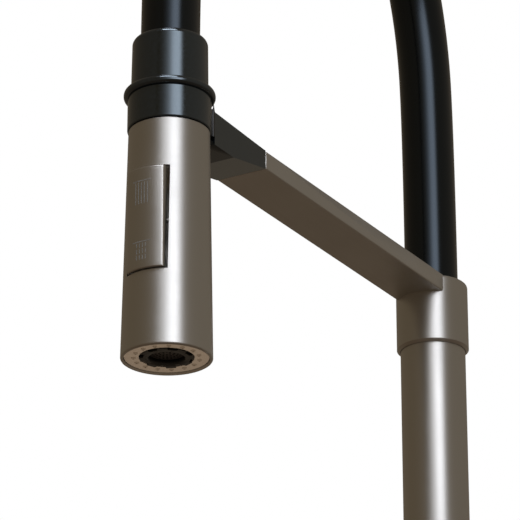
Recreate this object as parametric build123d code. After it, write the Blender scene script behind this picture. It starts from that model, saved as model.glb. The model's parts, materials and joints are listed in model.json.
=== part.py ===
from build123d import *
import math
import os

# Pull-down kitchen faucet: a side-lever mixer body, a slim column, a swivelling collar with a flat
# docking arm, and a spray head on a free arch hose. Millimetres, +Z up.
# Origin: the column's axis at the worktop's surface. The arm and the spray head point along -Y,
# and the lever stands on the +X side.

# ---------------------------------------------------------------- driving dimensions
# overall
REACH = 214.0            # column axis to spray axis
COLLAR_Z = 270.0         # lower edge of the swivel collar above the worktop
COLUMN_R = 14.0
COLUMN_WALL = 1.2
FIT = 0.05               # clearance of a close fit, each side
RUN = 0.1                # clearance of a turning or sliding fit, each side
FREE = 0.3               # clearance between pieces that never touch

# base and mounting
WORKTOP_T = 30.0         # worktop that the mounting pieces are drawn clamped to
RING_R = 26.0
RING_H = 5.0
BODY_R = 23.0
BODY_TOP = 112.0
SHANK_R = 16.0           # M32 shank
SHANK_BORE_R = 13.5
SHANK_LENGTH = 60.0      # below the worktop's surface
SHANK_SPIGOT_R = 15.0
SHANK_GRIP = 12.0        # length screwed into the body
SEAL_IN_R = 18.0
SEAL_OUT_R = 24.0
SEAL_H = 1.5
GASKET_R = 24.0
GASKET_T = 2.5
WASHER_R = 23.0
WASHER_T = 1.5
NUT_R = 24.0
NUT_H = 12.0
INLET_R = 4.5            # M10 supply inlet
INLET_DEPTH = 13.0
INLET_SPREAD = 7.0       # each inlet's distance from the axis
PORT_R = 3.0
CROSS_PORT_R = 2.6       # drillings from the upright water ways to the cartridge
PORT_DROP = 4.0          # inlet ports below the cartridge's axis
OUTLET_RISE = 8.0        # outlet port above it
CROSS_OUTLET_R = 3.1
OUTLET_R = 3.5
SOCKET_DEPTH = 26.0      # of the column in the body
COLUMN_GROOVE_RISE = 8.0  # column seal's groove above the socket's floor
COLUMN_GROOVE_H = 2.6
COLUMN_GROOVE_DEPTH = 1.4
COLUMN_SCREW_R = 2.0
COLUMN_SCREW_DROP = 8.0  # set screw below the body's top
SCREW_SINK = 1.2         # set screw's end below the body's surface

# mixing cartridge, lying along +X
CART_Z = 62.0            # height of the cartridge's axis
CART_FLOOR_X = 12.0
PORT_SEAL_T = 0.8
PORT_SEAL_W = 1.3
CART_R = 17.5            # 35 mm cartridge
CART_NECK_R = 15.0
CART_SHOULDER_X = 28.0
CART_END_X = 40.0
CART_CAVITY_R = 13.5
CART_BASE_T = 3.2
CART_LIP_T = 3.0         # lip that keeps the carrier in the case
CART_LIP_W = 2.0
DISC_T = 3.9             # fixed ceramic disc
MOVING_DISC_T = 2.4
MOVING_DISC_R = 11.3
PIVOT_X = 36.0           # the lever's tilt axis
BALL_REACH = 10.6        # tilt axis to the stem's ball
BALL_R = 1.9
STEM_R = 3.4
STEM_TAIL_R = 1.5        # thin end that carries the ball
STEM_TAIL_END = 7.0      # before the tilt axis
STEM_ROUND_END = 11.0    # beyond the tilt axis
STEM_END = 26.0
PIN_R = 1.5
PIN_HALF = 9.0           # half the pin's length
CHAMBER_R = 8.4          # mixing chamber in the moving disc
CHAMBER_DEPTH = 1.4
DRIVER_R = 8.0
DRIVER_LIP = 1.4         # driver's top beyond the ball's centre
KEY_HALF_W = 1.9         # driver's guide key
KEY_T = 1.8
KEY_DROP = 7.5           # key's lower side below the disc's centre
KEY_RISE = 1.1           # key's height in the carrier
CARRIER_BACK = 7.5       # carrier's back before the tilt axis
CARRIER_SLOT_HALF = 7.2
TILT = 22.0              # the lever's full opening, degrees
HOUSING_R = 21.0
HOUSING_END_X = 35.0
DOME_R = 19.0
DOME_WALL = 2.4
DOME_HOLE_R = 12.0
DOME_SKIRT = 1.5         # dome's depth in the housing's mouth
HUB_R = 21.0
HUB_START = 8.6          # hub's rim beyond the tilt axis
HUB_END = 30.0
HUB_GAP = 0.6            # between the hub's hollow and the dome
SQUARE = 7.0             # stem's square head, across flats
HANDLE_R = 4.5
HANDLE_SEAT = 10.0       # socket's floor above the cartridge's axis
HANDLE_ROUND = 2.0
HANDLE_TOP = 106.0       # above the cartridge's axis
HANDLE_X = 57.0
LEVER_SCREW_X = 59.5
LEVER_SCREW_R = 2.5
LEVER_SCREW_LENGTH = 7.0
LEVER_SCREW_HEX_R = 1.45
LEVER_SCREW_HEX_DEPTH = 2.5
LEVER_PLUG_LENGTH = 4.0
LEVER_PLUG_SINK = 0.3    # plug's face above the hub's lowest line

# swivel at the column's top
COLLAR_R = 15.54
COLLAR_H = 30.62
COLLAR_TOP_T = 4.0
COLLAR_GAP = 0.14        # between the collar's lip and the column
BUSH_T = 0.65
COLUMN_RISE = 20.0       # column top above the collar's lower edge
INSERT_LENGTH = 29.0
INSERT_FLANGE_T = 1.6
SPIGOT_R = 8.5
SEAL_GROOVES = (7.0, 13.0)  # above the insert's lower end
SEAL_GROOVE_H = 2.2
SEAL_GROOVE_R = 7.2
SOCKET_TAIL = 3.2        # spigot's end below the insert
CLIP_DROP = 1.6          # clip's groove below the insert
CLIP_GROOVE_H = 1.2
CLIP_GROOVE_R = 7.3
CLIP_R = 10.1
CLIP_MOUTH_HALF_W = 2.2
SPIGOT_BORE_R = 5.5
THRUST_T = 0.7
SOCKET_FLANGE_T = 3.9
NIPPLE_R = 3.9
NIPPLE_BORE_R = 2.9
NIPPLE_LENGTH = 20.0
SCREW_R = 1.45
COLLAR_SCREW_END = 12.0  # screw's inner end, from the axis
COLLAR_EDGE = 1.1        # collar's lower chamfer
COLLAR_ROUND = 1.5       # collar's upper round
BUSH_RISE = 3.5          # bush's recess above the collar's lower edge
BUSH_DROP = 0.5          # recess's top below the column's top

# arm and dock
ARM_HALF_W = 11.19
ARM_T = 7.78
ARM_EDGE = 0.35
HOLDER_LENGTH = 53.4     # arm's end to the spray axis
HOLDER_FRONT = 15.0      # holder's front face to the spray axis
HOLDER_RISE = 1.4        # holder's top above the arm's at the front
HOLDER_DROP = 4.54       # holder's underside below the arm's at the front
HOLDER_FLAT = 14.2       # length of the level underside
ARM_COLLAR_GAP = 0.02    # brazed joint between the arm and the collar
TONGUE_LENGTH = 17.4
TONGUE_HALF_W = 7.0
TONGUE_T = 3.8
TONGUE_RISE = 1.4        # tongue's underside above the arm's
DOCK_SCREW_R = 1.25
DOCK_SCREW_RUN = 0.1     # clearance round the screws in the holder
DOCK_SCREW_PLACES = (5.4, 13.4)  # before the arm's end
DOCK_HEAD_R = 2.8
DOCK_HEAD_T = 1.1
DOCK_HEX_R = 1.2
DOCK_HEX_DEPTH = 0.7
SCREW_HEAD_SINK = 1.22   # screw heads' seat below the arm's top
CRADLE_FRONT = 13.86     # cradle's front edges to the spray axis
CRADLE_H = 13.6
CRADLE_BASE = 21.6       # above the collar's lower edge
CRADLE_CHAMFER = 0.36
CRADLE_BLOCK_HALF_W = 9.0
CRADLE_BLOCK_BACK = 21.0
CRADLE_BLOCK_H = 7.9
CRADLE_LAP = 5.0         # depth of the cradle's block let into the holder's front
EAR_LIP = 0.3            # flat on top of the cradle's ears
FLANGE_GAP = 0.25        # between the bead and the cradle's ears
MAGNET_R = 3.5
MAGNET_T = 3.7
MAGNET_SPREAD = 4.6

# hose
HOSE_R = 11.46
HOSE_BORE_R = 9.6
LINER_R = 6.5
LINER_BORE_R = 4.0
FERRULE_R = 7.8

# hose end, heights above the collar's lower edge
SLEEVE_R = 16.11
SLEEVE_BOTTOM = 19.9
SLEEVE_TOP = 33.3
SLEEVE_BORE_R = 13.0
KEEPER_R = 14.6
FLANGE_R = 17.7
FLANGE_TOP = 36.7
END_COLLAR_R = 14.9
END_COLLAR_TOP_R = 14.62
END_COLLAR_TOP = 58.4
WEB_BOTTOM = 42.0
WEB_TOP = 45.0
HOSE_NUT_R = 12.6
HOSE_NUT_BOTTOM = 24.0
HOSE_NUT_TOP = 41.0
NECK_R = 10.4            # G 1/2 thread
NECK_TOP = 33.0
STEM_NIPPLE_R = 6.3

# spray head, heights above the collar's lower edge
SHELL_TOP = 19.6
SHELL_BOTTOM = -72.8
SHELL_TOP_R = 15.6
SHELL_BOTTOM_R = 17.35
SHELL_WALL = 1.1
SHELL_TOP_T = 1.2
WINDOW_HALF_W = 9.0
WINDOW_TOP = -0.4
WINDOW_BOTTOM = -42.7
ROCKER_HALF_W = 8.0
ROCKER_END_GAP = 0.7
ROCKER_T = 2.4
ROCKER_PROUD = 1.75
ROCKER_REST_TILT = 1.75  # degrees, top outwards
ROCKER_PIVOT_DEPTH = 10.2  # pivot's distance in front of the spray axis
ROCKER_PIN_R = 1.0
ROCKER_PIN_GRIP = 1.0    # pin's length in each wall of the core
POCKET_FLOOR = 7.7       # pocket floor's distance in front of the spray axis
SPOOL_ABOVE_PIVOT = 17.05
SPOOL_R = 3.5
SPOOL_GROOVES = (-5.2, 2.4)  # behind the spray axis
SPOOL_GROOVE_W = 1.6
FORK_DEPTH = 9.1         # fork's back face in front of the spray axis
FORK_T = 1.2
CORE_BOTTOM = -61.0
CORE_GAP = 0.25
VALVE_R = 7.0
VALVE_FLOOR = 4.0
FACE_R = 16.0
FACE_T = 2.4
FACE_RECESS = 0.9
NOZZLE_COUNT = 15
NOZZLE_PCD_R = 12.4
NOZZLE_R = 0.95
FACE_HOLE_R = 10.4
AERATOR_R = 8.9
AERATOR_TAB_R = 10.2
AERATOR_TABS = 8
MESH_R = 6.7

# ---------------------------------------------------------------- worked-out places
AXIS_Y = -REACH
BODY_SOCKET_Z = BODY_TOP - SOCKET_DEPTH
COLUMN_GROOVE_Z = BODY_SOCKET_Z + COLUMN_GROOVE_RISE
COLUMN_GROOVE_R = COLUMN_R + COLUMN_GROOVE_DEPTH
COLUMN_SCREW_Z = BODY_TOP - COLUMN_SCREW_DROP
COLUMN_TOP = COLLAR_Z + COLUMN_RISE
COLUMN_IN_R = COLUMN_R - COLUMN_WALL
INSERT_BOTTOM = COLUMN_TOP - INSERT_LENGTH
THRUST_Z = COLUMN_TOP + INSERT_FLANGE_T + FIT
SOCKET_FLANGE_Z = THRUST_Z + THRUST_T + FIT
SOCKET_FLANGE_TOP = SOCKET_FLANGE_Z + SOCKET_FLANGE_T
COLLAR_TOP = COLLAR_Z + COLLAR_H
COLLAR_SCREW_Z = SOCKET_FLANGE_Z + SOCKET_FLANGE_T / 2
ARM_BOTTOM = COLLAR_TOP - ARM_T
ARM_END = AXIS_Y + HOLDER_LENGTH
HOLDER_END = AXIS_Y + HOLDER_FRONT
TONGUE_BOTTOM = ARM_BOTTOM + TONGUE_RISE
HOSE_START_Z = SOCKET_FLANGE_TOP + 0.1
HOSE_END_Z = COLLAR_Z + WEB_TOP + 0.1
ROCKER_PIVOT = (WINDOW_TOP + WINDOW_BOTTOM) / 2
DISC_X = CART_FLOOR_X + PORT_SEAL_T + CART_BASE_T
MOVING_X = DISC_X + DISC_T + FIT
BALL_X = PIVOT_X - BALL_REACH
DISC_STROKE = BALL_REACH * math.sin(math.radians(TILT))
DISC_Z = CART_Z - DISC_STROKE / 2   # moving disc's centre with the lever shut
DRIVER_X = MOVING_X + MOVING_DISC_T
DRIVER_TOP = BALL_X + DRIVER_LIP
CARRIER_X = PIVOT_X - CARRIER_BACK
CARRIER_LIP_X = CART_END_X - CART_LIP_T
SOCKET_BOTTOM = INSERT_BOTTOM - SOCKET_TAIL
CLIP_Z = INSERT_BOTTOM - CLIP_DROP
DOCK_SCREWS_Y = [ARM_END - place for place in DOCK_SCREW_PLACES]
SCREW_SEAT_Z = COLLAR_TOP - SCREW_HEAD_SINK
SPOOL_H = ROCKER_PIVOT + SPOOL_ABOVE_PIVOT


def cone_r(h):
    """Spray shell's outer radius at height h above the collar's lower edge."""
    share = (SHELL_TOP - h) / (SHELL_TOP - SHELL_BOTTOM)
    return SHELL_TOP_R + (SHELL_BOTTOM_R - SHELL_TOP_R) * share


# ---------------------------------------------------------------- helpers
def turned(points, rounds=(), x=0.0, y=0.0, z=0.0):
    """Solid turned about a vertical axis from (radius, height) corners, some of them rounded."""
    face = make_face(Polyline(*points, close=True))
    for corner, size in rounds:
        r, h = points[corner]
        vertex = face.vertices().sort_by_distance((r, h, 0))[0]
        face = fillet(vertex, size)
    return Pos(x, y, z) * revolve(Plane.XZ * face, Axis.Z)


def tube(outer, inner, low, high, x=0.0, y=0.0):
    """Plain ring between two heights."""
    return turned([(inner, low), (outer, low), (outer, high), (inner, high)], x=x, y=y)


def rod(radius, low, high, x=0.0, y=0.0):
    """Upright round bar between two heights."""
    return Pos(x, y, (low + high) / 2) * Cylinder(radius, high - low)


def lying(solid):
    """A piece turned about Z laid along +X on the cartridge's axis: its heights become X places."""
    return Pos(0, 0, CART_Z) * Rot(0, 90, 0) * solid


def rod_x(radius, low, high, y=0.0, z=0.0):
    """Round bar along X."""
    return Pos((low + high) / 2, y, z) * Rot(0, 90, 0) * Cylinder(radius, high - low)


def ball(radius, x):
    """Ball on the cartridge's axis, its poles along X."""
    return Pos(x, 0, CART_Z) * Rot(0, 90, 0) * Sphere(radius)


def rod_y(radius, low, high, x=0.0, z=0.0):
    """Round bar along Y."""
    return Pos(x, (low + high) / 2, z) * Rot(90, 0, 0) * Cylinder(radius, high - low)


def block(x0, x1, y0, y1, z0, z1):
    """Box from its lowest and highest corners."""
    size = Box(x1 - x0, y1 - y0, z1 - z0)
    return Pos((x0 + x1) / 2, (y0 + y1) / 2, (z0 + z1) / 2) * size


def side_plate(points, half_width):
    """Plate of the given (y, z) outline, reaching half_width to each side of the YZ plane."""
    face = Plane.YZ * make_face(Polyline(*points, close=True))
    return extrude(face, half_width, both=True)


def at_spray(points, rounds=()):
    """Solid turned about the spray axis; heights count from the collar's lower edge."""
    return turned(points, rounds, y=AXIS_Y, z=COLLAR_Z)


def spray_tube(outer, inner, low, high):
    """Plain ring about the spray axis."""
    return at_spray([(inner, low), (outer, low), (outer, high), (inner, high)])


# ---------------------------------------------------------------- base
def base_ring():
    """Round foot with a groove for its seal; it rests on the worktop."""
    foot = turned(
        [(SHANK_R + FREE, 0), (RING_R, 0), (RING_R, RING_H), (SHANK_R + FREE, RING_H)],
        rounds=[(2, 1.0)],
    )
    return foot - tube(SEAL_OUT_R, SEAL_IN_R, -1, SEAL_H)


def base_seal():
    """Flat rubber ring in the foot's groove."""
    return tube(SEAL_OUT_R - FIT, SEAL_IN_R + FIT, 0, SEAL_H)


def base_body():
    """Mixer body: upright cylinder, side housing, column socket, inlets and water ways."""
    upright = turned(
        [(0, RING_H), (BODY_R, RING_H), (BODY_R, BODY_TOP), (0, BODY_TOP)],
        rounds=[(2, 1.2)],
    )
    body = upright + rod_x(HOUSING_R, 0, HOUSING_END_X, z=CART_Z)
    body -= rod(SHANK_SPIGOT_R + FIT, RING_H - 1, RING_H + SHANK_GRIP)
    body -= rod(COLUMN_R + FIT, BODY_SOCKET_Z, BODY_TOP + 1)
    body -= tube(COLUMN_GROOVE_R, COLUMN_R - 1, COLUMN_GROOVE_Z, COLUMN_GROOVE_Z + COLUMN_GROOVE_H)
    body -= rod_x(CART_R + FIT, CART_FLOOR_X, HOUSING_END_X + 1, z=CART_Z)
    inlet_floor = RING_H + SHANK_GRIP
    inlet_top = inlet_floor + INLET_DEPTH
    port_z = CART_Z - PORT_DROP
    for side in (-1, 1):
        y = side * INLET_SPREAD
        body -= rod(INLET_R, inlet_floor - 1, inlet_top, y=y)
        body -= rod(PORT_R, inlet_top - 1, port_z + PORT_R, y=y)
        body -= rod_x(CROSS_PORT_R, 0, CART_FLOOR_X + 1, y=y, z=port_z)
    outlet_z = CART_Z + OUTLET_RISE
    body -= rod_x(CROSS_OUTLET_R, 0, CART_FLOOR_X + 1, z=outlet_z)
    body -= rod(OUTLET_R, outlet_z - OUTLET_R, BODY_SOCKET_Z + 1)
    return body - rod_y(COLUMN_SCREW_R, COLUMN_R - 1, BODY_R + 1, z=COLUMN_SCREW_Z)


def column_screw():
    """Set screw that holds the column, at the back of the body."""
    return rod_y(COLUMN_SCREW_R - FIT, COLUMN_R + FIT, BODY_R - SCREW_SINK, z=COLUMN_SCREW_Z)


def column_seal():
    """Ring seal in the column socket's groove."""
    low = COLUMN_GROOVE_Z + FIT
    high = COLUMN_GROOVE_Z + COLUMN_GROOVE_H - FIT
    return tube(COLUMN_GROOVE_R - FIT, COLUMN_R + FIT / 2, low, high)


def mounting_shank():
    """Hollow threaded shank that goes through the worktop."""
    low = -SHANK_LENGTH
    high = RING_H + SHANK_GRIP
    return turned([
        (SHANK_BORE_R, low), (SHANK_R, low), (SHANK_R, RING_H), (SHANK_SPIGOT_R, RING_H),
        (SHANK_SPIGOT_R, high), (SHANK_BORE_R, high),
    ])


def mounting_gasket():
    """Rubber ring under the worktop."""
    return tube(GASKET_R, SHANK_R + FREE, -WORKTOP_T - GASKET_T, -WORKTOP_T)


def mounting_washer():
    """Steel ring under the gasket."""
    top = -WORKTOP_T - GASKET_T
    return tube(WASHER_R, SHANK_R + FREE, top - WASHER_T, top)


def mounting_nut():
    """Hexagon nut that clamps the faucet to the worktop."""
    top = -WORKTOP_T - GASKET_T - WASHER_T
    nut = extrude(RegularPolygon(NUT_R, 6), NUT_H)
    nut = Pos(0, 0, top - NUT_H) * nut
    return nut - rod(SHANK_R + FIT, top - NUT_H - 1, top + 1)


def column_tube():
    """Steel riser tube."""
    return tube(COLUMN_R, COLUMN_IN_R, BODY_SOCKET_Z + FIT, COLUMN_TOP)


# ---------------------------------------------------------------- cartridge, along +X
def three_ports(low, high):
    """Two inlet ports and one outlet port through a cartridge piece."""
    ports = rod_x(CROSS_OUTLET_R, low, high, z=CART_Z + OUTLET_RISE)
    for side in (-1, 1):
        ports += rod_x(CROSS_PORT_R, low, high, y=side * INLET_SPREAD, z=CART_Z - PORT_DROP)
    return ports


def port_seals():
    """Three rubber rings between the cartridge and the body's floor."""
    low = CART_FLOOR_X
    high = CART_FLOOR_X + PORT_SEAL_T
    places = [(0, OUTLET_RISE, CROSS_OUTLET_R)]
    places += [(side * INLET_SPREAD, -PORT_DROP, CROSS_PORT_R) for side in (-1, 1)]
    rings = []
    for y, z, radius in places:
        ring = Rot(0, 90, 0) * tube(radius + PORT_SEAL_W, radius + RUN, low, high)
        rings.append(Pos(0, y, CART_Z + z) * ring)
    return rings


def cartridge_housing():
    """Plastic case of the mixing cartridge."""
    low = CART_FLOOR_X + PORT_SEAL_T
    floor = low + CART_BASE_T
    mouth = CART_CAVITY_R - CART_LIP_W
    case = turned([
        (0, low), (CART_R, low), (CART_R, CART_SHOULDER_X), (CART_NECK_R, CART_SHOULDER_X),
        (CART_NECK_R, CART_END_X), (mouth, CART_END_X), (mouth, CARRIER_LIP_X),
        (CART_CAVITY_R, CARRIER_LIP_X), (CART_CAVITY_R, floor), (0, floor),
    ])
    return lying(case) - three_ports(low - 1, floor + 1)


def fixed_disc():
    """Lower ceramic disc with the three ports."""
    disc = rod_x(CART_CAVITY_R - RUN, DISC_X, DISC_X + DISC_T, z=CART_Z)
    return disc - three_ports(DISC_X - 1, DISC_X + DISC_T + 1)


def moving_disc():
    """Upper ceramic disc with its mixing chamber; it slides as the lever tilts."""
    disc = rod_x(MOVING_DISC_R, MOVING_X, DRIVER_X, z=DISC_Z)
    return disc - rod_x(CHAMBER_R, MOVING_X - 1, MOVING_X + CHAMBER_DEPTH, z=DISC_Z)


def disc_driver():
    """Plastic plate on the moving disc, with the socket for the stem's ball and a guide key."""
    plate = rod_x(DRIVER_R, DRIVER_X, DRIVER_TOP, z=DISC_Z)
    plate -= rod_x(BALL_R + RUN, BALL_X - BALL_R - RUN, DRIVER_TOP + 1, z=CART_Z)
    key_low = DISC_Z - KEY_DROP
    return plate + block(
        DRIVER_TOP - 1, CARRIER_X + KEY_RISE, -KEY_HALF_W, KEY_HALF_W, key_low, key_low + KEY_T,
    )


def stem_carrier():
    """Rotor that holds the stem's pin; it turns with the lever and so sets the temperature."""
    outer = CART_CAVITY_R - RUN
    step = CARRIER_LIP_X - RUN
    rotor = lying(turned([
        (0, CARRIER_X), (outer, CARRIER_X), (outer, step), (outer - CART_LIP_W, step),
        (outer - CART_LIP_W, CART_END_X - RUN), (0, CART_END_X - RUN),
    ]))
    half = STEM_R + 2 * RUN
    reach = CARRIER_SLOT_HALF
    rotor -= block(CARRIER_X - 1, CART_END_X + 1, -half, half, CART_Z - reach, CART_Z + reach)
    half = KEY_HALF_W + RUN
    key_way = DISC_Z - KEY_DROP - FREE
    rotor -= block(CARRIER_X - 1, CARRIER_X + KEY_RISE + FREE, -half, half, key_way, CART_Z)
    return rotor - rod_y(PIN_R, -PIN_HALF, PIN_HALF, x=PIVOT_X, z=CART_Z)


def stem_pin():
    """Cross pin that the stem tilts on."""
    return rod_y(PIN_R, -PIN_HALF, PIN_HALF, x=PIVOT_X, z=CART_Z)


def cartridge_stem():
    """Steel stem: ball end, round shaft with the pin's bore, and a square head for the hub."""
    stem = ball(BALL_R, BALL_X)
    stem += rod_x(STEM_TAIL_R, BALL_X, PIVOT_X, z=CART_Z)
    stem += rod_x(STEM_R, PIVOT_X - STEM_TAIL_END, PIVOT_X + STEM_ROUND_END, z=CART_Z)
    half = SQUARE / 2
    start = PIVOT_X + STEM_ROUND_END - 1
    stem += block(start, PIVOT_X + STEM_END, -half, half, CART_Z - half, CART_Z + half)
    return stem - rod_y(PIN_R + FIT, -5, 5, x=PIVOT_X, z=CART_Z)


def cartridge_nut():
    """Brass ring nut that presses on the cartridge's shoulder."""
    low = CART_SHOULDER_X + RUN
    return lying(tube(CART_R, CART_NECK_R + RUN, low, HOUSING_END_X - DOME_SKIRT - RUN))


def dome_cap():
    """Ball-shaped cover over the cartridge, seated in the housing's mouth."""
    shell = ball(DOME_R, PIVOT_X) - ball(DOME_R - DOME_WALL, PIVOT_X)
    shell &= block(HOUSING_END_X, PIVOT_X + DOME_R + 1, -30, 30, CART_Z - 30, CART_Z + 30)
    shell -= rod_x(DOME_HOLE_R, PIVOT_X, PIVOT_X + DOME_R + 1, z=CART_Z)
    skirt = lying(tube(CART_R, CART_NECK_R + FREE, HOUSING_END_X - DOME_SKIRT, HOUSING_END_X + 0.5))
    return shell + skirt


# ---------------------------------------------------------------- lever
def lever_hub():
    """Round cap that follows the dome and grips the stem's square."""
    low = PIVOT_X + HUB_START
    high = PIVOT_X + HUB_END
    hub = lying(turned([(0, low), (HUB_R, low), (HUB_R, high), (0, high)], rounds=[(1, 0.5), (2, 2.0)]))
    hub -= ball(DOME_R + HUB_GAP, PIVOT_X)
    half = SQUARE / 2 + FIT
    end = PIVOT_X + STEM_END + RUN
    hub -= block(PIVOT_X + STEM_ROUND_END, end, -half, half, CART_Z - half, CART_Z + half)
    hub -= rod(HANDLE_R + FIT, CART_Z + HANDLE_SEAT, CART_Z + HUB_R + 1, x=HANDLE_X)
    hub -= rod(LEVER_SCREW_R, CART_Z - HUB_R - 1, CART_Z - SQUARE / 2, x=LEVER_SCREW_X)
    return hub


def lever_handle():
    """Slim round handle that stands up from the hub."""
    low = CART_Z + HANDLE_SEAT + FIT
    top = CART_Z + HANDLE_TOP
    outline = [(0, low), (HANDLE_R, low), (HANDLE_R, top), (0, top)]
    return turned(outline, rounds=[(2, HANDLE_ROUND)], x=HANDLE_X)


def lever_screw():
    """Set screw that locks the hub on the stem."""
    top = CART_Z - SQUARE / 2 - FIT
    low = top - LEVER_SCREW_LENGTH
    screw = rod(LEVER_SCREW_R - FIT, low, top, x=LEVER_SCREW_X)
    hexagon = extrude(RegularPolygon(LEVER_SCREW_HEX_R, 6), LEVER_SCREW_HEX_DEPTH)
    return screw - Pos(LEVER_SCREW_X, 0, low) * hexagon


def lever_plug():
    """Plug that hides the set screw."""
    low = CART_Z - HUB_R + LEVER_PLUG_SINK
    return rod(LEVER_SCREW_R - FIT, low, low + LEVER_PLUG_LENGTH, x=LEVER_SCREW_X)


# ---------------------------------------------------------------- swivel
def column_insert():
    """Brass end piece soldered into the column's top; the swivel turns in its bore."""
    bore = SPIGOT_R + FIT
    return turned([
        (bore, INSERT_BOTTOM), (COLUMN_IN_R - FIT, INSERT_BOTTOM), (COLUMN_IN_R - FIT, COLUMN_TOP),
        (COLUMN_R - RUN, COLUMN_TOP), (COLUMN_R - RUN, COLUMN_TOP + INSERT_FLANGE_T),
        (bore, COLUMN_TOP + INSERT_FLANGE_T),
    ])


def thrust_washer():
    """Slippery ring between the fixed insert and the turning socket."""
    return tube(COLUMN_R - RUN, SPIGOT_R + FIT, THRUST_Z, THRUST_Z + THRUST_T)


def hose_socket():
    """Brass swivel piece: spigot in the column, flange in the collar, barbed nipple for the hose."""
    top = SOCKET_FLANGE_TOP + NIPPLE_LENGTH
    socket = turned([
        (SPIGOT_BORE_R, SOCKET_BOTTOM), (SPIGOT_R, SOCKET_BOTTOM), (SPIGOT_R, SOCKET_FLANGE_Z),
        (COLUMN_R - RUN, SOCKET_FLANGE_Z), (COLUMN_R - RUN, SOCKET_FLANGE_TOP),
        (NIPPLE_R, SOCKET_FLANGE_TOP), (NIPPLE_R, top), (NIPPLE_BORE_R, top),
        (NIPPLE_BORE_R, SOCKET_FLANGE_Z), (SPIGOT_BORE_R, SOCKET_FLANGE_Z - 3),
    ])
    for rise in SEAL_GROOVES:
        low = INSERT_BOTTOM + rise
        socket -= tube(SPIGOT_R + 1, SEAL_GROOVE_R, low, low + SEAL_GROOVE_H)
    socket -= tube(SPIGOT_R + 1, CLIP_GROOVE_R, CLIP_Z, CLIP_Z + CLIP_GROOVE_H)
    return socket - rod_y(SCREW_R + FIT, COLLAR_SCREW_END - FIT, COLUMN_R + 2, z=COLLAR_SCREW_Z)


def socket_seals():
    """Two ring seals on the swivel spigot."""
    rings = []
    for rise in SEAL_GROOVES:
        low = INSERT_BOTTOM + rise + FIT
        high = INSERT_BOTTOM + rise + SEAL_GROOVE_H - FIT
        rings.append(tube(SPIGOT_R + FIT / 2, SEAL_GROOVE_R + FIT, low, high))
    return rings


def socket_clip():
    """Open spring clip that keeps the swivel in the column."""
    clip = tube(CLIP_R, CLIP_GROOVE_R + FIT, CLIP_Z + FIT, CLIP_Z + CLIP_GROOVE_H - FIT)
    half = CLIP_MOUTH_HALF_W
    return clip - block(-half, half, 0, CLIP_R + 1, CLIP_Z - 1, CLIP_Z + CLIP_GROOVE_H + 1)


def swivel_collar():
    """Steel collar that turns on the column and carries the arm."""
    bore = COLUMN_R + COLLAR_GAP
    ceiling = COLLAR_TOP - COLLAR_TOP_T
    hole = HOSE_R + FREE
    collar = turned([
        (bore, COLLAR_Z), (COLLAR_R - COLLAR_EDGE, COLLAR_Z), (COLLAR_R, COLLAR_Z + COLLAR_EDGE),
        (COLLAR_R, COLLAR_TOP), (hole, COLLAR_TOP), (hole, ceiling), (bore, ceiling),
    ], rounds=[(3, COLLAR_ROUND)])
    recess_r = COLUMN_R + BUSH_T + 2 * FIT
    collar -= tube(recess_r, COLUMN_R, COLLAR_Z + BUSH_RISE, COLUMN_TOP - BUSH_DROP)
    return collar - rod_y(SCREW_R + FIT, COLUMN_R - 1, COLLAR_R + 1, z=COLLAR_SCREW_Z)


def swivel_bush():
    """Plastic sleeve bearing between the collar and the column."""
    low = COLLAR_Z + BUSH_RISE + FIT
    return tube(COLUMN_R + BUSH_T + FIT, COLUMN_R + FIT, low, COLUMN_TOP - BUSH_DROP - FIT)


def collar_screw():
    """Set screw through the collar's back into the hose socket's flange."""
    return rod_y(SCREW_R, COLLAR_SCREW_END, COLLAR_R - FREE, z=COLLAR_SCREW_Z)


# ---------------------------------------------------------------- arm and dock
def arm_bar():
    """Flat steel arm brazed to the collar, with a tongue for the holder."""
    bar = block(-ARM_HALF_W, ARM_HALF_W, ARM_END, 0, ARM_BOTTOM, COLLAR_TOP)
    bar = chamfer(bar.edges().group_by(Axis.Y)[0] + bar.edges().filter_by(Axis.Y), ARM_EDGE)
    bar -= rod(COLLAR_R + ARM_COLLAR_GAP, ARM_BOTTOM - 1, COLLAR_TOP + 1)
    bar = bar.solids().sort_by(Axis.Y)[0]
    tongue = block(
        -TONGUE_HALF_W, TONGUE_HALF_W, ARM_END - TONGUE_LENGTH, ARM_END + 1,
        TONGUE_BOTTOM, TONGUE_BOTTOM + TONGUE_T,
    )
    arm = bar + tongue
    for y in DOCK_SCREWS_Y:
        arm -= rod(DOCK_SCREW_R, TONGUE_BOTTOM - 1, TONGUE_BOTTOM + TONGUE_T + 1, y=y)
    return arm


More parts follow.
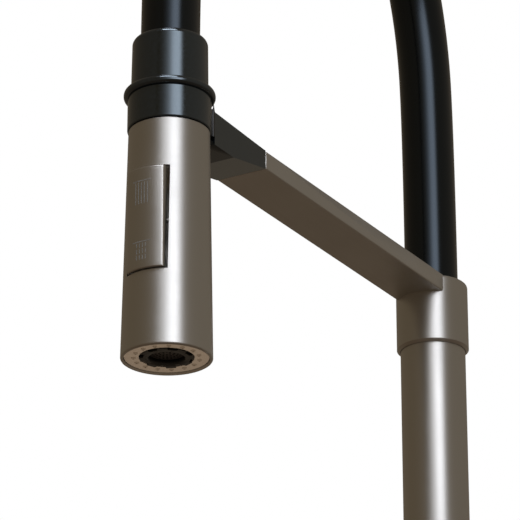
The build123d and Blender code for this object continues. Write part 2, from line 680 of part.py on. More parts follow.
def dock_holder():
    """Black end piece on the arm, with pockets for the tongue and the magnetic cradle."""
    top = COLLAR_TOP + HOLDER_RISE
    bottom = ARM_BOTTOM - HOLDER_DROP
    holder = side_plate([
        (ARM_END, COLLAR_TOP), (HOLDER_END, top), (HOLDER_END, bottom),
        (HOLDER_END + HOLDER_FLAT, bottom), (ARM_END, ARM_BOTTOM),
    ], ARM_HALF_W)
    holder -= rod(SLEEVE_R + FREE, COLLAR_Z, COLLAR_Z + 50, y=AXIS_Y)
    holder -= block(
        -TONGUE_HALF_W - FIT, TONGUE_HALF_W + FIT, ARM_END - TONGUE_LENGTH - 0.2, ARM_END + 1,
        TONGUE_BOTTOM - FIT, TONGUE_BOTTOM + TONGUE_T + FIT,
    )
    base = COLLAR_Z + CRADLE_BASE
    holder -= block(
        -CRADLE_BLOCK_HALF_W - FIT, CRADLE_BLOCK_HALF_W + FIT, HOLDER_END - CRADLE_LAP,
        AXIS_Y + CRADLE_BLOCK_BACK + FIT, base - FIT, base + CRADLE_BLOCK_H + FIT,
    )
    for y in DOCK_SCREWS_Y:
        holder -= rod(DOCK_SCREW_R + DOCK_SCREW_RUN, TONGUE_BOTTOM, COLLAR_TOP + 5, y=y)
        holder -= rod(DOCK_HEAD_R + DOCK_SCREW_RUN, SCREW_SEAT_Z, COLLAR_TOP + 5, y=y)
    return holder


def dock_screws():
    """Two screws from the holder's top into the arm's tongue."""
    screws = []
    for y in DOCK_SCREWS_Y:
        shank = rod(DOCK_SCREW_R - FIT, TONGUE_BOTTOM + 0.2, SCREW_SEAT_Z + 0.5, y=y)
        head_top = SCREW_SEAT_Z + DOCK_HEAD_T
        head = rod(DOCK_HEAD_R, SCREW_SEAT_Z, head_top, y=y)
        socket = Pos(0, y, head_top - DOCK_HEX_DEPTH) * extrude(RegularPolygon(DOCK_HEX_R, 6), 2)
        screws.append(shank + head - socket)
    return screws


def dock_cradle():
    """Hollow-faced saddle that the hose end snaps into; two ears guide the flange."""
    base = COLLAR_Z + CRADLE_BASE
    top = base + CRADLE_H
    holder_top = COLLAR_TOP + HOLDER_RISE
    front = AXIS_Y + CRADLE_FRONT
    wings = block(-ARM_HALF_W, ARM_HALF_W, front, HOLDER_END, base, holder_top)
    ears = side_plate([
        (front, holder_top - 1), (front, top), (front + EAR_LIP, top), (HOLDER_END, holder_top),
        (HOLDER_END, holder_top - 1),
    ], ARM_HALF_W)
    face = wings + ears
    uprights = face.edges().filter_by(Axis.Z).group_by(Axis.Y)[0]
    face = chamfer(uprights, CRADLE_CHAMFER)
    half = CRADLE_BLOCK_HALF_W
    back = AXIS_Y + CRADLE_BLOCK_BACK
    cradle = face + block(-half, half, HOLDER_END - 0.5, back, base, base + CRADLE_BLOCK_H)
    cradle -= rod(SLEEVE_R + FREE, COLLAR_Z, COLLAR_Z + 50, y=AXIS_Y)
    cradle -= rod(FLANGE_R + FLANGE_GAP, COLLAR_Z + SLEEVE_TOP - FREE, COLLAR_Z + 50, y=AXIS_Y)
    for side in (-1, 1):
        x = side * MAGNET_SPREAD
        cradle -= rod_y(MAGNET_R + FIT, back - MAGNET_T - 0.1, back + 1, x=x, z=base + CRADLE_BLOCK_H / 2)
    return cradle


def dock_magnets():
    """Two disc magnets behind the cradle's hollow face."""
    back = AXIS_Y + CRADLE_BLOCK_BACK
    height = COLLAR_Z + CRADLE_BASE + CRADLE_BLOCK_H / 2
    return [rod_y(MAGNET_R, back - MAGNET_T, back, x=side * MAGNET_SPREAD, z=height) for side in (-1, 1)]


# ---------------------------------------------------------------- hose
# Route of the arch in the YZ plane, as (distance from the column axis, height): it rises straight
# out of the collar, turns over in a wide arch and comes down into the spray's collar.
HOSE_ROUTE = [
    (0.0, HOSE_START_Z),
    (0.0, 380.0),
    (4.8, 425.7),
    (21.6, 466.4),
    (50.3, 494.6),
    (87.4, 509.9),
    (126.6, 509.9),
    (163.7, 494.6),
    (192.4, 466.4),
    (209.2, 425.7),
    (212.7, 378.0),
    (REACH, 338.0),
    (REACH, HOSE_END_Z),
]


def hose_path():
    """The route as straight runs joined by tangent arcs, and the arcs' radii."""
    points = [Vector(0, -s, h) for s, h in HOSE_ROUTE]
    radii = []
    for before, here, after in zip(points, points[1:], points[2:]):
        turn = math.radians((here - before).get_angle(after - here))
        shorter = min((here - before).length, (after - here).length)
        radii.append(0.45 * shorter / math.tan(turn / 2))
    return FilletPolyline(*points, radius=radii), radii


def hose_layer(outer, inner):
    """One tube of the hose, carried along the route."""
    path, _ = hose_path()
    start = Plane(origin=(0, 0, HOSE_START_Z), z_dir=(0, 0, 1))
    section = start * (Circle(outer) - Circle(inner))
    return sweep(section, path=path)


def hose_sleeve():
    """Black outer hose."""
    return hose_layer(HOSE_R, HOSE_BORE_R)


def hose_liner():
    """Inner hose that carries the water."""
    return hose_layer(LINER_R, LINER_BORE_R)


def column_ferrule():
    """Crimped sleeve on the liner at the column's end."""
    low = SOCKET_FLANGE_TOP + FIT
    return tube(FERRULE_R, LINER_R + FIT, low, low + 14)


def spray_ferrule():
    """Crimped sleeve on the liner at the spray's end."""
    return spray_tube(FERRULE_R, LINER_R + FIT, WEB_TOP + FIT, WEB_TOP + 12)


# ---------------------------------------------------------------- hose end
def end_collar():
    """Black collar that the arch hose enters."""
    return at_spray([
        (SLEEVE_BORE_R, FLANGE_TOP), (END_COLLAR_R, FLANGE_TOP), (END_COLLAR_TOP_R, END_COLLAR_TOP),
        (HOSE_R + 0.5, END_COLLAR_TOP), (HOSE_R + 0.5, WEB_TOP), (STEM_NIPPLE_R + FIT, WEB_TOP),
        (STEM_NIPPLE_R + FIT, WEB_BOTTOM), (SLEEVE_BORE_R, WEB_BOTTOM),
    ], rounds=[(2, 2.2)])


def dock_flange():
    """Bead that stops above the cradle."""
    half = (FLANGE_TOP - SLEEVE_TOP) / 2 - 0.01
    return at_spray([
        (SLEEVE_BORE_R, SLEEVE_TOP), (FLANGE_R, SLEEVE_TOP), (FLANGE_R, FLANGE_TOP),
        (SLEEVE_BORE_R, FLANGE_TOP),
    ], rounds=[(1, half * 0.8), (2, half)])


def dock_sleeve():
    """Black sleeve that sits in the cradle."""
    return at_spray([
        (SLEEVE_BORE_R, SLEEVE_BOTTOM), (SLEEVE_R, SLEEVE_BOTTOM), (SLEEVE_R, SLEEVE_TOP),
        (KEEPER_R, SLEEVE_TOP), (KEEPER_R, SLEEVE_BOTTOM + 1.6), (SLEEVE_BORE_R, SLEEVE_BOTTOM + 1.6),
    ])


def keeper_ring():
    """Steel ring inside the sleeve that the magnets pull on."""
    return spray_tube(KEEPER_R - FIT, SLEEVE_BORE_R + FIT, SLEEVE_BOTTOM + 1.6, SLEEVE_TOP)


def hose_nipple():
    """Brass end of the hose: sealing flange, shoulder under the collar, and barb."""
    seat = NECK_TOP + 2.05
    return at_spray([
        (NIPPLE_BORE_R, seat), (9.2, seat), (9.2, seat + 2.4), (STEM_NIPPLE_R, seat + 2.4),
        (STEM_NIPPLE_R, HOSE_NUT_TOP + 0.2), (8.0, HOSE_NUT_TOP + 0.2), (8.0, WEB_BOTTOM - FIT),
        (STEM_NIPPLE_R, WEB_BOTTOM - FIT), (STEM_NIPPLE_R, WEB_TOP), (NIPPLE_R, WEB_TOP),
        (NIPPLE_R, WEB_TOP + 12), (NIPPLE_BORE_R, WEB_TOP + 12),
    ])


def hose_nut():
    """Nut on the spray's neck; it turns freely about the nipple, so the spray can turn."""
    lip = HOSE_NUT_TOP - 3.3
    return at_spray([
        (NECK_R + FIT, HOSE_NUT_BOTTOM), (HOSE_NUT_R, HOSE_NUT_BOTTOM), (HOSE_NUT_R, HOSE_NUT_TOP),
        (STEM_NIPPLE_R + FREE, HOSE_NUT_TOP), (STEM_NIPPLE_R + FREE, lip), (NECK_R + FIT, lip),
    ])


def hose_washer():
    """Rubber washer between the nipple and the spray's neck."""
    return spray_tube(NECK_R - 0.2, 5.0, NECK_TOP, NECK_TOP + 2.0)


# ---------------------------------------------------------------- spray head
def spray_window(grow, front):
    """Box in front of the spray axis for the rocker, wider by grow on every side."""
    return block(
        -WINDOW_HALF_W - grow, WINDOW_HALF_W + grow, AXIS_Y - 30, AXIS_Y - front,
        COLLAR_Z + WINDOW_BOTTOM - grow, COLLAR_Z + WINDOW_TOP + grow,
    )


def spray_shell():
    """Brushed steel case of the spray, with the rocker's window."""
    outer = at_spray([
        (0, SHELL_BOTTOM), (SHELL_BOTTOM_R, SHELL_BOTTOM), (SHELL_TOP_R, SHELL_TOP), (0, SHELL_TOP),
    ], rounds=[(1, 0.7), (2, 0.3)])
    ceiling = SHELL_TOP - SHELL_TOP_T
    low = SHELL_BOTTOM - 1
    inner = at_spray([
        (0, low), (cone_r(low) - SHELL_WALL, low), (cone_r(ceiling) - SHELL_WALL, ceiling), (0, ceiling),
    ])
    shell = outer - inner - rod(NECK_R + FIT, COLLAR_Z + ceiling - 1, COLLAR_Z + SHELL_TOP + 1, y=AXIS_Y)
    return shell - spray_window(0, 5)


def spray_core():
    """Plastic core with the threaded neck, valve chamber, spool bore and both water ways."""
    top = SHELL_TOP - SHELL_TOP_T - RUN
    gap = SHELL_WALL + CORE_GAP
    core = at_spray([
        (0, CORE_BOTTOM), (cone_r(CORE_BOTTOM) - gap, CORE_BOTTOM), (cone_r(top) - gap, top),
        (NECK_R, top), (NECK_R, NECK_TOP), (VALVE_R, NECK_TOP), (VALVE_R, VALVE_FLOOR),
        (5.0, VALVE_FLOOR), (5.0, SPOOL_H), (0, SPOOL_H),
    ])
    core -= spray_window(0.3, POCKET_FLOOR)
    core -= rod_y(SPOOL_R + RUN, AXIS_Y - POCKET_FLOOR - 1, AXIS_Y + 9, z=COLLAR_Z + SPOOL_H)
    core -= rod(2.2, COLLAR_Z + CORE_BOTTOM - 1, COLLAR_Z + SPOOL_H, y=AXIS_Y + 2.5)
    core -= rod(1.6, COLLAR_Z + CORE_BOTTOM - 1, COLLAR_Z + SPOOL_H, y=AXIS_Y + 11.5)
    core -= rod_y(1.6, AXIS_Y + 8, AXIS_Y + 11.5, z=COLLAR_Z + SPOOL_H)
    return core - rocker_axle(ROCKER_PIN_R)


def rocker_axle(radius):
    """Bar along the rocker's pivot, from one wall of the core to the other."""
    half = WINDOW_HALF_W + ROCKER_PIN_GRIP
    y = AXIS_Y - ROCKER_PIVOT_DEPTH
    return rod_x(radius, -half, half, y=y, z=COLLAR_Z + ROCKER_PIVOT)


def rocker_pin():
    """Pin that the rocker turns on."""
    return rocker_axle(ROCKER_PIN_R)


def mode_rocker():
    """Spray and jet rocker button with its pivot rib and the fork that moves the spool."""
    low = WINDOW_BOTTOM + ROCKER_END_GAP
    high = WINDOW_TOP - ROCKER_END_GAP
    plate = at_spray([
        (cone_r(low) - ROCKER_T, low), (cone_r(low), low), (cone_r(high), high),
        (cone_r(high) - ROCKER_T, high),
    ])
    plate &= block(
        -ROCKER_HALF_W, ROCKER_HALF_W, AXIS_Y - 30, AXIS_Y, COLLAR_Z + low - 1, COLLAR_Z + high + 1,
    )
    front_edges = plate.edges().filter_by_position(Axis.Y, AXIS_Y - 30, AXIS_Y - 13.8)
    plate = fillet(front_edges.filter_by(lambda edge: edge.length > 5), 0.4)
    pivot = Pos(0, AXIS_Y - ROCKER_PIVOT_DEPTH, COLLAR_Z + ROCKER_PIVOT)
    turn = pivot * Rot(ROCKER_REST_TILT, 0, 0) * pivot.inverse()
    plate = turn * Pos(0, -ROCKER_PROUD, 0) * plate
    plate_back = AXIS_Y - cone_r(ROCKER_PIVOT) - ROCKER_PROUD + ROCKER_T - 1
    pivot_y = AXIS_Y - ROCKER_PIVOT_DEPTH
    pivot_z = COLLAR_Z + ROCKER_PIVOT
    rib = block(-3, 3, plate_back, pivot_y, pivot_z - 2, pivot_z + 2) + rod_x(2, -3, 3, y=pivot_y, z=pivot_z)
    rocker = plate + rib
    fork_z = COLLAR_Z + SPOOL_H
    fork_back = AXIS_Y - FORK_DEPTH
    low = fork_z - FORK_T
    high = fork_z + FORK_T
    fork = block(-4.4, 4.4, plate_back - 1.2, fork_back, low, high)
    fork -= block(-2.9, 2.9, plate_back - 2, fork_back - FORK_T, low - 1, high + 1)
    fork -= block(-1.5, 1.5, plate_back - 2, fork_back + 1, low - 1, high + 1)
    rocker += fork
    return rocker - rod_x(ROCKER_PIN_R + FIT, -4, 4, y=pivot_y, z=pivot_z)


def diverter_spool():
    """Spool that sends the water to the jet or to the spray nozzles."""
    z = COLLAR_Z + SPOOL_H
    shoulder = AXIS_Y - FORK_DEPTH + RUN
    head = AXIS_Y - FORK_DEPTH - FORK_T - RUN
    spool = rod_y(SPOOL_R, shoulder, AXIS_Y + 4.5, z=z)
    spool += rod_y(1.3, head - 0.5, shoulder + 0.5, z=z)
    spool += rod_y(2.5, head - 1.0, head, z=z)
    spool -= turned_y(SPOOL_R + 1, 1.8, AXIS_Y - 1.2, AXIS_Y + 1.6, z)
    for groove in SPOOL_GROOVES:
        low = AXIS_Y + groove
        spool -= turned_y(SPOOL_R + 1, SPOOL_R - 1.1, low, low + SPOOL_GROOVE_W, z)
    return spool


def turned_y(outer, inner, low, high, z):
    """Ring about an axis along Y."""
    return rod_y(outer, low, high, z=z) - rod_y(inner, low - 1, high + 1, z=z)


def spool_seals():
    """Two ring seals on the spool."""
    z = COLLAR_Z + SPOOL_H
    rings = []
    for groove in SPOOL_GROOVES:
        low = AXIS_Y + groove + FIT
        high = AXIS_Y + groove + SPOOL_GROOVE_W - FIT
        rings.append(turned_y(SPOOL_R + FIT, SPOOL_R - 1.1 + FIT, low, high, z))
    return rings


def inlet_filter():
    """Fine sieve in the neck's mouth."""
    sieve = at_spray([
        (0, NECK_TOP - 5), (3.6, NECK_TOP - 5), (VALVE_R - FIT, NECK_TOP - 1.2), (VALVE_R - FIT, NECK_TOP),
        (VALVE_R - 0.9, NECK_TOP), (3.2, NECK_TOP - 4.4), (0, NECK_TOP - 4.4),
    ])
    for ring_r, count in ((0.0, 1), (1.9, 6)):
        for step in range(count):
            angle = math.tau * step / count
            x = ring_r * math.cos(angle)
            y = AXIS_Y + ring_r * math.sin(angle)
            sieve -= rod(0.55, COLLAR_Z + NECK_TOP - 6, COLLAR_Z + NECK_TOP - 4, x=x, y=y)
    return sieve


def check_valve():
    """Check valve in the core's chamber: its body with the seat, and the poppet shut against it."""
    low = VALVE_FLOOR
    high = NECK_TOP - 6
    seat = high - 2.5
    body = at_spray([
        (4.4, low), (VALVE_R - FIT, low), (VALVE_R - FIT, high), (3.0, high), (3.0, seat),
        (5.4, seat), (5.4, low + 2), (4.4, low + 2),
    ])
    top = seat - FIT
    poppet = at_spray([(0, top - 7), (1.4, top - 7), (1.4, top - 2), (4.6, top - 2), (4.6, top), (0, top)])
    return [body, poppet]


def face_plate():
    """Grey face of the spray with the nozzle holes and the jet's opening."""
    low = SHELL_BOTTOM + FACE_RECESS
    plate = at_spray([
        (FACE_HOLE_R, low), (FACE_R, low), (FACE_R, low + FACE_T + 3), (FACE_R - 1, low + FACE_T + 3),
        (FACE_R - 1, low + FACE_T), (FACE_HOLE_R, low + FACE_T),
    ], rounds=[(1, 0.3)])
    for x, y in nozzle_places():
        plate -= rod(NOZZLE_R + FIT, COLLAR_Z + low - 1, COLLAR_Z + low + FACE_T + 1, x=x, y=y)
    return plate


def nozzle_places():
    """Centres of the spray nozzles."""
    places = []
    for step in range(NOZZLE_COUNT):
        angle = math.tau * (step + 0.5) / NOZZLE_COUNT
        places.append((NOZZLE_PCD_R * math.sin(angle), AXIS_Y - NOZZLE_PCD_R * math.cos(angle)))
    return places


def nozzle_mat():
    """Soft mat with one nipple through each nozzle hole."""
    back = SHELL_BOTTOM + FACE_RECESS + FACE_T
    tip = SHELL_BOTTOM + FACE_RECESS - 0.5
    mat = spray_tube(FACE_R - 1.1, AERATOR_TAB_R + 0.3, back, back + 1.4)
    for x, y in nozzle_places():
        mat += turned([(0, tip), (NOZZLE_R - 0.3, tip), (NOZZLE_R, tip + 0.5), (NOZZLE_R, back + 0.5),
                       (0, back + 0.5)], x=x, y=y, z=COLLAR_Z)
        mat -= rod(0.35, COLLAR_Z + tip - 1, COLLAR_Z + back + 2, x=x, y=y)
    return mat


def aerator_ring():
    """Black jet insert with key tabs round its mouth."""
    low = SHELL_BOTTOM + FACE_RECESS - 0.4
    ledge = low + 0.9
    ring = at_spray([
        (MESH_R + 0.3, low), (AERATOR_R, low), (AERATOR_R, CORE_BOTTOM), (MESH_R + 1.2, CORE_BOTTOM),
        (MESH_R + 1.2, ledge + 1.2), (MESH_R, ledge + 1.2), (MESH_R, ledge),
    ])
    tab = block(-1.9, 1.9, -AERATOR_TAB_R, -AERATOR_R + 0.6, low, low + 2.2)
    for step in range(AERATOR_TABS):
        ring += Pos(0, AXIS_Y, COLLAR_Z) * Rot(0, 0, 360 * (step + 0.5) / AERATOR_TABS) * tab
    return ring


def aerator_mesh():
    """Sieve plate inside the jet insert."""
    low = SHELL_BOTTOM + FACE_RECESS - 0.4 + 0.9 + 1.2
    mesh = Pos(0, AXIS_Y, COLLAR_Z + low + 0.3) * Cylinder(MESH_R + 1.2 - FIT, 0.6)
    for ring in range(1, 5):
        count = 6 * ring
        for step in range(count):
            angle = math.tau * step / count
            x = 1.4 * ring * math.cos(angle)
            y = AXIS_Y + 1.4 * ring * math.sin(angle)
            mesh -= rod(0.45, COLLAR_Z + low - 1, COLLAR_Z + low + 2, x=x, y=y)
    return mesh


# ---------------------------------------------------------------- the set
PIECES = [
    base_ring, base_seal, base_body, column_screw, column_seal, mounting_shank, mounting_gasket,
    mounting_washer, mounting_nut, column_tube, port_seals, cartridge_housing, fixed_disc, moving_disc,
    disc_driver, stem_carrier, stem_pin, cartridge_stem, cartridge_nut, dome_cap, lever_hub,
    lever_handle, lever_screw, lever_plug, column_insert, thrust_washer, hose_socket, socket_seals,
    socket_clip, swivel_collar, swivel_bush, collar_screw, arm_bar, dock_holder, dock_screws,
    dock_cradle, dock_magnets, hose_sleeve, hose_liner, column_ferrule, spray_ferrule,
    end_collar, dock_flange, dock_sleeve, keeper_ring, hose_nipple, hose_nut, hose_washer, spray_shell,
    spray_core, rocker_pin, mode_rocker, diverter_spool, spool_seals, inlet_filter, check_valve,
    face_plate, nozzle_mat, aerator_ring, aerator_mesh,
]


def main():
    """Build every piece and write it to its own file."""
    os.makedirs("parts", exist_ok=True)
    path, radii = hose_path()
    print("hose length", round(path.length, 1), "bend radii", [round(r) for r in radii])
    for build in PIECES:
        shape = build()
        if isinstance(shape, list):
            shape = Compound(children=shape)
        export_step(shape, os.path.join("parts", build.__name__ + ".step"))


if __name__ == "__main__":
    main()
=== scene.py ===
"""Pull-down kitchen faucet: what the eye sees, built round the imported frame.

Metres, +Z up. The column's axis is the origin, the arm and the spray lie along -Y and the lever
stands on the +X side.
"""
from __future__ import annotations

import json
import logging
import math
from collections.abc import Iterable
from dataclasses import dataclass
from enum import Enum

import bmesh
import bpy
import numpy as np
from mathutils import Matrix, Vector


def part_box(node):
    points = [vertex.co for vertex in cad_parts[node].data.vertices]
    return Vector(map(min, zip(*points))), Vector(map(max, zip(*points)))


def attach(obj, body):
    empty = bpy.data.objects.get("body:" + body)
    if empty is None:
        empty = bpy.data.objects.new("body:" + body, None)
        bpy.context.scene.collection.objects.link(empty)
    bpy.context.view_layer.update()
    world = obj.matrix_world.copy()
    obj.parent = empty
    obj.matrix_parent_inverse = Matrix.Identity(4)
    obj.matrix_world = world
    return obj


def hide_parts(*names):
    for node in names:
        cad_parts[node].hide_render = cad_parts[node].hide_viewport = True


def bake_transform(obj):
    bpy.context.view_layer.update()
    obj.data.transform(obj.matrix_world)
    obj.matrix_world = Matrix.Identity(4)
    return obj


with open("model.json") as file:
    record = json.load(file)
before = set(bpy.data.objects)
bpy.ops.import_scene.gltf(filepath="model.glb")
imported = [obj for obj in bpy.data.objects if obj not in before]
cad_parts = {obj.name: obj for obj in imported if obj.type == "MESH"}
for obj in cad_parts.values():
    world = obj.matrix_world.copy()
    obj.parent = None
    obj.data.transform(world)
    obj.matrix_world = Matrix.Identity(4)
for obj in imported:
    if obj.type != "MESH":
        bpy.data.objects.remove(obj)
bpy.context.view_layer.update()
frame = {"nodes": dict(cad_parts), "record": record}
LOG = logging.getLogger("faucet")

MM = 0.001
SEGMENTS = 160
SMOOTH_ANGLE = math.radians(32)
WELD = 2e-6


# ---- places read from the frame
@dataclass(frozen=True)
class Span:
    """Box of a CAD node at rest, in metres.

    Args:
        low: lowest corner.
        high: highest corner.
    """

    low: tuple[float, float, float]
    high: tuple[float, float, float]

    @staticmethod
    def of(node: str) -> Span:
        """Return the box of one CAD node."""
        low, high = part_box(node)
        return Span(tuple(low), tuple(high))

    @property
    def radius(self) -> float:
        """Half the width along X, the radius of a piece turned about an upright line."""
        return (self.high[0] - self.low[0]) / 2

    @property
    def bottom(self) -> float:
        """Lowest height."""
        return self.low[2]

    @property
    def top(self) -> float:
        """Greatest height."""
        return self.high[2]

    @property
    def middle(self) -> tuple[float, float, float]:
        """Centre of the box."""
        return tuple((a + b) / 2 for a, b in zip(self.low, self.high))


class Along(Enum):
    """Direction of the line that a piece is turned about."""

    UP = "up"
    OUT = "out"


@dataclass(frozen=True)
class Line:
    """Line that a piece is turned about.

    Args:
        x, y, z: a point of the line; the coordinate along the line itself stays 0.
        along: the line's direction, up (+Z) or out (+X).
    """

    x: float = 0.0
    y: float = 0.0
    z: float = 0.0
    along: Along = Along.UP

    def place(self, radius: np.ndarray, height: np.ndarray, angle: np.ndarray) -> np.ndarray:
        """Return points at a radius, a distance along the line and an angle about it.

        The point is the line's own point, plus radius times (cos, sin) in the plane across the
        line, plus the height along it.
        """
        across = radius * np.cos(angle)
        over = radius * np.sin(angle)
        if self.along is Along.UP:
            parts = (self.x + across, self.y + over, self.z + height)
        else:
            parts = (self.x + height, self.y + across, self.z + over)
        return np.stack(np.broadcast_arrays(*parts), axis=-1)


COLUMN = Line()
SPRAY = Line(y=Span.of("spray_shell").middle[1])
CARTRIDGE = Line(z=Span.of("lever_hub").middle[2], along=Along.OUT)


# ---- mesh work
def outline(corners: Iterable[tuple[float, ...]], closed: bool = True, run: float = 8 * MM) -> np.ndarray:
    """Outline with rounded corners.

    Each corner is (radius, height) or (radius, height, round). A rounded corner becomes an arc
    that is tangent to both its sides: its centre lies on the corner's bisector, round / sin(half
    angle) away. Straight runs get points at most `run` apart, and one close to each end, so that
    the shading of a long wall isn't pulled by the round beside it.

    Args:
        corners: the outline's corners in order.
        closed: whether the last corner joins the first.
        run: greatest distance between points on a straight run.

    Returns:
        Points of the outline, one row each.
    """
    table = [tuple(c) + (0.0,) * (3 - len(c)) for c in corners]
    ends: list[np.ndarray] = []
    for index, (radius, height, size) in enumerate(table):
        here = np.array([radius, height])
        if size == 0.0:
            ends.append(here[None])
            continue
        before = np.array(table[index - 1][:2]) - here
        after = np.array(table[(index + 1) % len(table)][:2]) - here
        before, after = before / np.linalg.norm(before), after / np.linalg.norm(after)
        half = math.acos(float(np.clip(before @ after, -1, 1))) / 2
        centre = here + (before + after) / np.linalg.norm(before + after) * size / math.sin(half)
        first = here + before * size / math.tan(half) - centre
        last = here + after * size / math.tan(half) - centre
        share = np.linspace(0, 1, 3 + int(size / MM * 4))[:, None]
        turn = math.pi - 2 * half
        arc = (np.sin((1 - share) * turn) * first + np.sin(share * turn) * last) / math.sin(turn)
        ends.append(centre + arc)
    pieces: list[np.ndarray] = []
    for index, bend in enumerate(ends):
        pieces.append(bend)
        if index + 1 == len(ends) and not closed:
            break
        start, stop = bend[-1], ends[(index + 1) % len(ends)][0]
        length = float(np.linalg.norm(stop - start))
        inner = np.linspace(0, length, max(2, 1 + math.ceil(length / run)))[1:-1]
        near = np.array([0.2 * MM, length - 0.2 * MM]) if length > 1.0 * MM else np.array([])
        stops = np.unique(np.concatenate([inner, near]))[:, None]
        pieces.append(start + (stop - start) * stops / max(length, 1e-9))
    return np.concatenate(pieces)


def placed(name: str, data: bpy.types.ID) -> bpy.types.Object:
    """Return a new object that holds some data, linked into the scene."""
    made = bpy.data.objects.new(name, data)
    bpy.context.scene.collection.objects.link(made)
    return made


def grid_object(name: str, points: np.ndarray, wrap: tuple[bool, bool], uv: np.ndarray) -> bpy.types.Object:
    """Mesh object from a grid of points.

    Args:
        name: the object's name.
        points: array of rows, columns and three coordinates.
        wrap: whether the last row joins the first, and the last column the first.
        uv: array of rows + 1, columns + 1 and two coordinates, so that a seam keeps its own values.

    Returns:
        The object, its seams and poles closed and its faces pointing outwards.
    """
    rows, columns = points.shape[:2]
    r = np.arange(rows if wrap[0] else rows - 1)[:, None]
    c = np.arange(columns if wrap[1] else columns - 1)[None]
    corners = [(r, c), (r, c + 1), (r + 1, c + 1), (r + 1, c)]
    faces = np.stack([(a % rows) * columns + b % columns + 0 * (r + c) for a, b in corners], axis=-1)
    loops = np.stack([uv[a + 0 * c, b + 0 * r] for a, b in corners], axis=2)
    mesh = bpy.data.meshes.new(name)
    mesh.from_pydata(points.reshape(-1, 3), [], faces.reshape(-1, 4))
    mesh.uv_layers.new(name="lay").uv.foreach_set("vector", loops.astype(np.float32).ravel())
    made = placed(name, mesh)
    close_up(made)
    return made


def close_up(piece: bpy.types.Object, turn_out: bool = True) -> None:
    """Merge doubles, fill open ends, point faces outwards and smooth all but the sharp edges."""
    work = bmesh.new()
    work.from_mesh(piece.data)
    bmesh.ops.remove_doubles(work, verts=work.verts, dist=WELD)
    bmesh.ops.dissolve_degenerate(work, edges=work.edges, dist=WELD / 2)
    if turn_out:
        bmesh.ops.holes_fill(work, edges=[e for e in work.edges if e.is_boundary])
        bmesh.ops.recalc_face_normals(work, faces=work.faces)
    work.to_mesh(piece.data)
    work.free()
    smooth(piece)


def smooth(piece: bpy.types.Object) -> None:
    """Shade a piece smooth except over its sharp edges."""
    piece.data.shade_smooth()
    piece.data.set_sharp_from_angle(angle=SMOOTH_ANGLE)


def turned(name: str, shape: np.ndarray, line: Line, closed: bool = True) -> bpy.types.Object:
    """Piece turned about a line.

    The surface is the outline (radius, height) carried round the line by an angle from 0 to a full
    turn. Its UV map is the arc length round the widest place and the length along the outline, in
    metres, so a brushed finish runs round the piece.

    Args:
        name: the object's name.
        shape: outline points, radius and height.
        line: line that the piece is turned about.
        closed: whether the outline is a closed loop; if not, it starts and ends on the line.

    Returns:
        The new object.
    """
    angle = np.arange(SEGMENTS) / SEGMENTS * math.tau
    points = line.place(shape[:, :1], shape[:, 1:], angle[None])
    steps = np.linalg.norm(np.diff(shape, axis=0, append=shape[:1]), axis=1)
    travel = np.concatenate([[0.0], np.cumsum(steps)])
    round_way = np.arange(SEGMENTS + 1) / SEGMENTS * math.tau * shape[:, 0].max()
    uv = np.stack(np.broadcast_arrays(round_way[None], travel[:, None]), axis=-1)
    return grid_object(name, points, (closed, True), uv)


def carve(piece: bpy.types.Object, tool: bpy.types.Object, how: str) -> None:
    """Join or cut a piece with another one, which is used up.

    Args:
        piece: the piece that changes.
        tool: the piece that is added or taken away.
        how: UNION or DIFFERENCE.
    """
    step = piece.modifiers.new("carve", "BOOLEAN")
    step.operation = how
    step.solver = "EXACT"
    step.object = tool
    shown = piece.evaluated_get(bpy.context.evaluated_depsgraph_get())
    result = bpy.data.meshes.new_from_object(shown)
    piece.modifiers.clear()
    piece.data = result
    bpy.data.objects.remove(tool)
    smooth(piece)


def drill(piece: bpy.types.Object, radius: float, line: Line, low: float, high: float) -> None:
    """Drill a round hole between two places on a line."""
    shape = outline([(0, low), (radius, low), (radius, high), (0, high)], closed=False)
    carve(piece, turned("drill", shape, line, closed=False), "DIFFERENCE")


def block(name: str, low: Iterable[float], high: Iterable[float]) -> bpy.types.Object:
    """Plain block between two corners, used only as a cutting tool."""
    low, high = np.array(list(low)), np.array(list(high))
    angle = (np.arange(4) + 0.5) * math.tau / 4
    square = np.stack([np.sign(np.cos(angle)), np.sign(np.sin(angle))], axis=1) / 2 + 0.5
    flat = low[:2] + square * (high[:2] - low[:2])
    points = np.stack([np.column_stack([flat, np.full(4, z)]) for z in (low[2], high[2])])
    return grid_object(name, points, (False, True), np.zeros((3, 5, 2)))


def welded(node: str) -> bpy.types.Object:
    """Copy of a CAD node with its loose triangles joined and its round faces smoothed."""
    source = frame["nodes"][node]
    made = placed(f"{node}_skin", source.data.copy())
    made.data.transform(source.matrix_world)
    close_up(made, turn_out=False)
    return made


# ---- node trees
def linear(code: str) -> tuple[float, float, float, float]:
    """Return the linear colour of an sRGB hex code such as "#c6c5c2".

    Values under 0.04045 are divided by 12.92; the others are ((c + 0.055) / 1.055) to the 2.4.
    """
    parts = [int(code[i:i + 2], 16) / 255 for i in (1, 3, 5)]
    light = [p / 12.92 if p <= 0.04045 else ((p + 0.055) / 1.055) ** 2.4 for p in parts]
    return (*light, 1.0)


def add(tree: bpy.types.NodeTree, kind: str, sockets: dict | None = None, **settings) -> bpy.types.Node:
    """Add a node.

    Args:
        tree: the node tree.
        kind: the node's type.
        sockets: input name or number to a value, or to an output socket that is linked.
        settings: the node's own properties.

    Returns:
        The new node.
    """
    made = tree.nodes.new(kind)
    for key, value in settings.items():
        setattr(made, key, value)
    for key, value in (sockets or {}).items():
        if isinstance(value, bpy.types.NodeSocket):
            tree.links.new(value, made.inputs[key])
        else:
            made.inputs[key].default_value = value
    return made


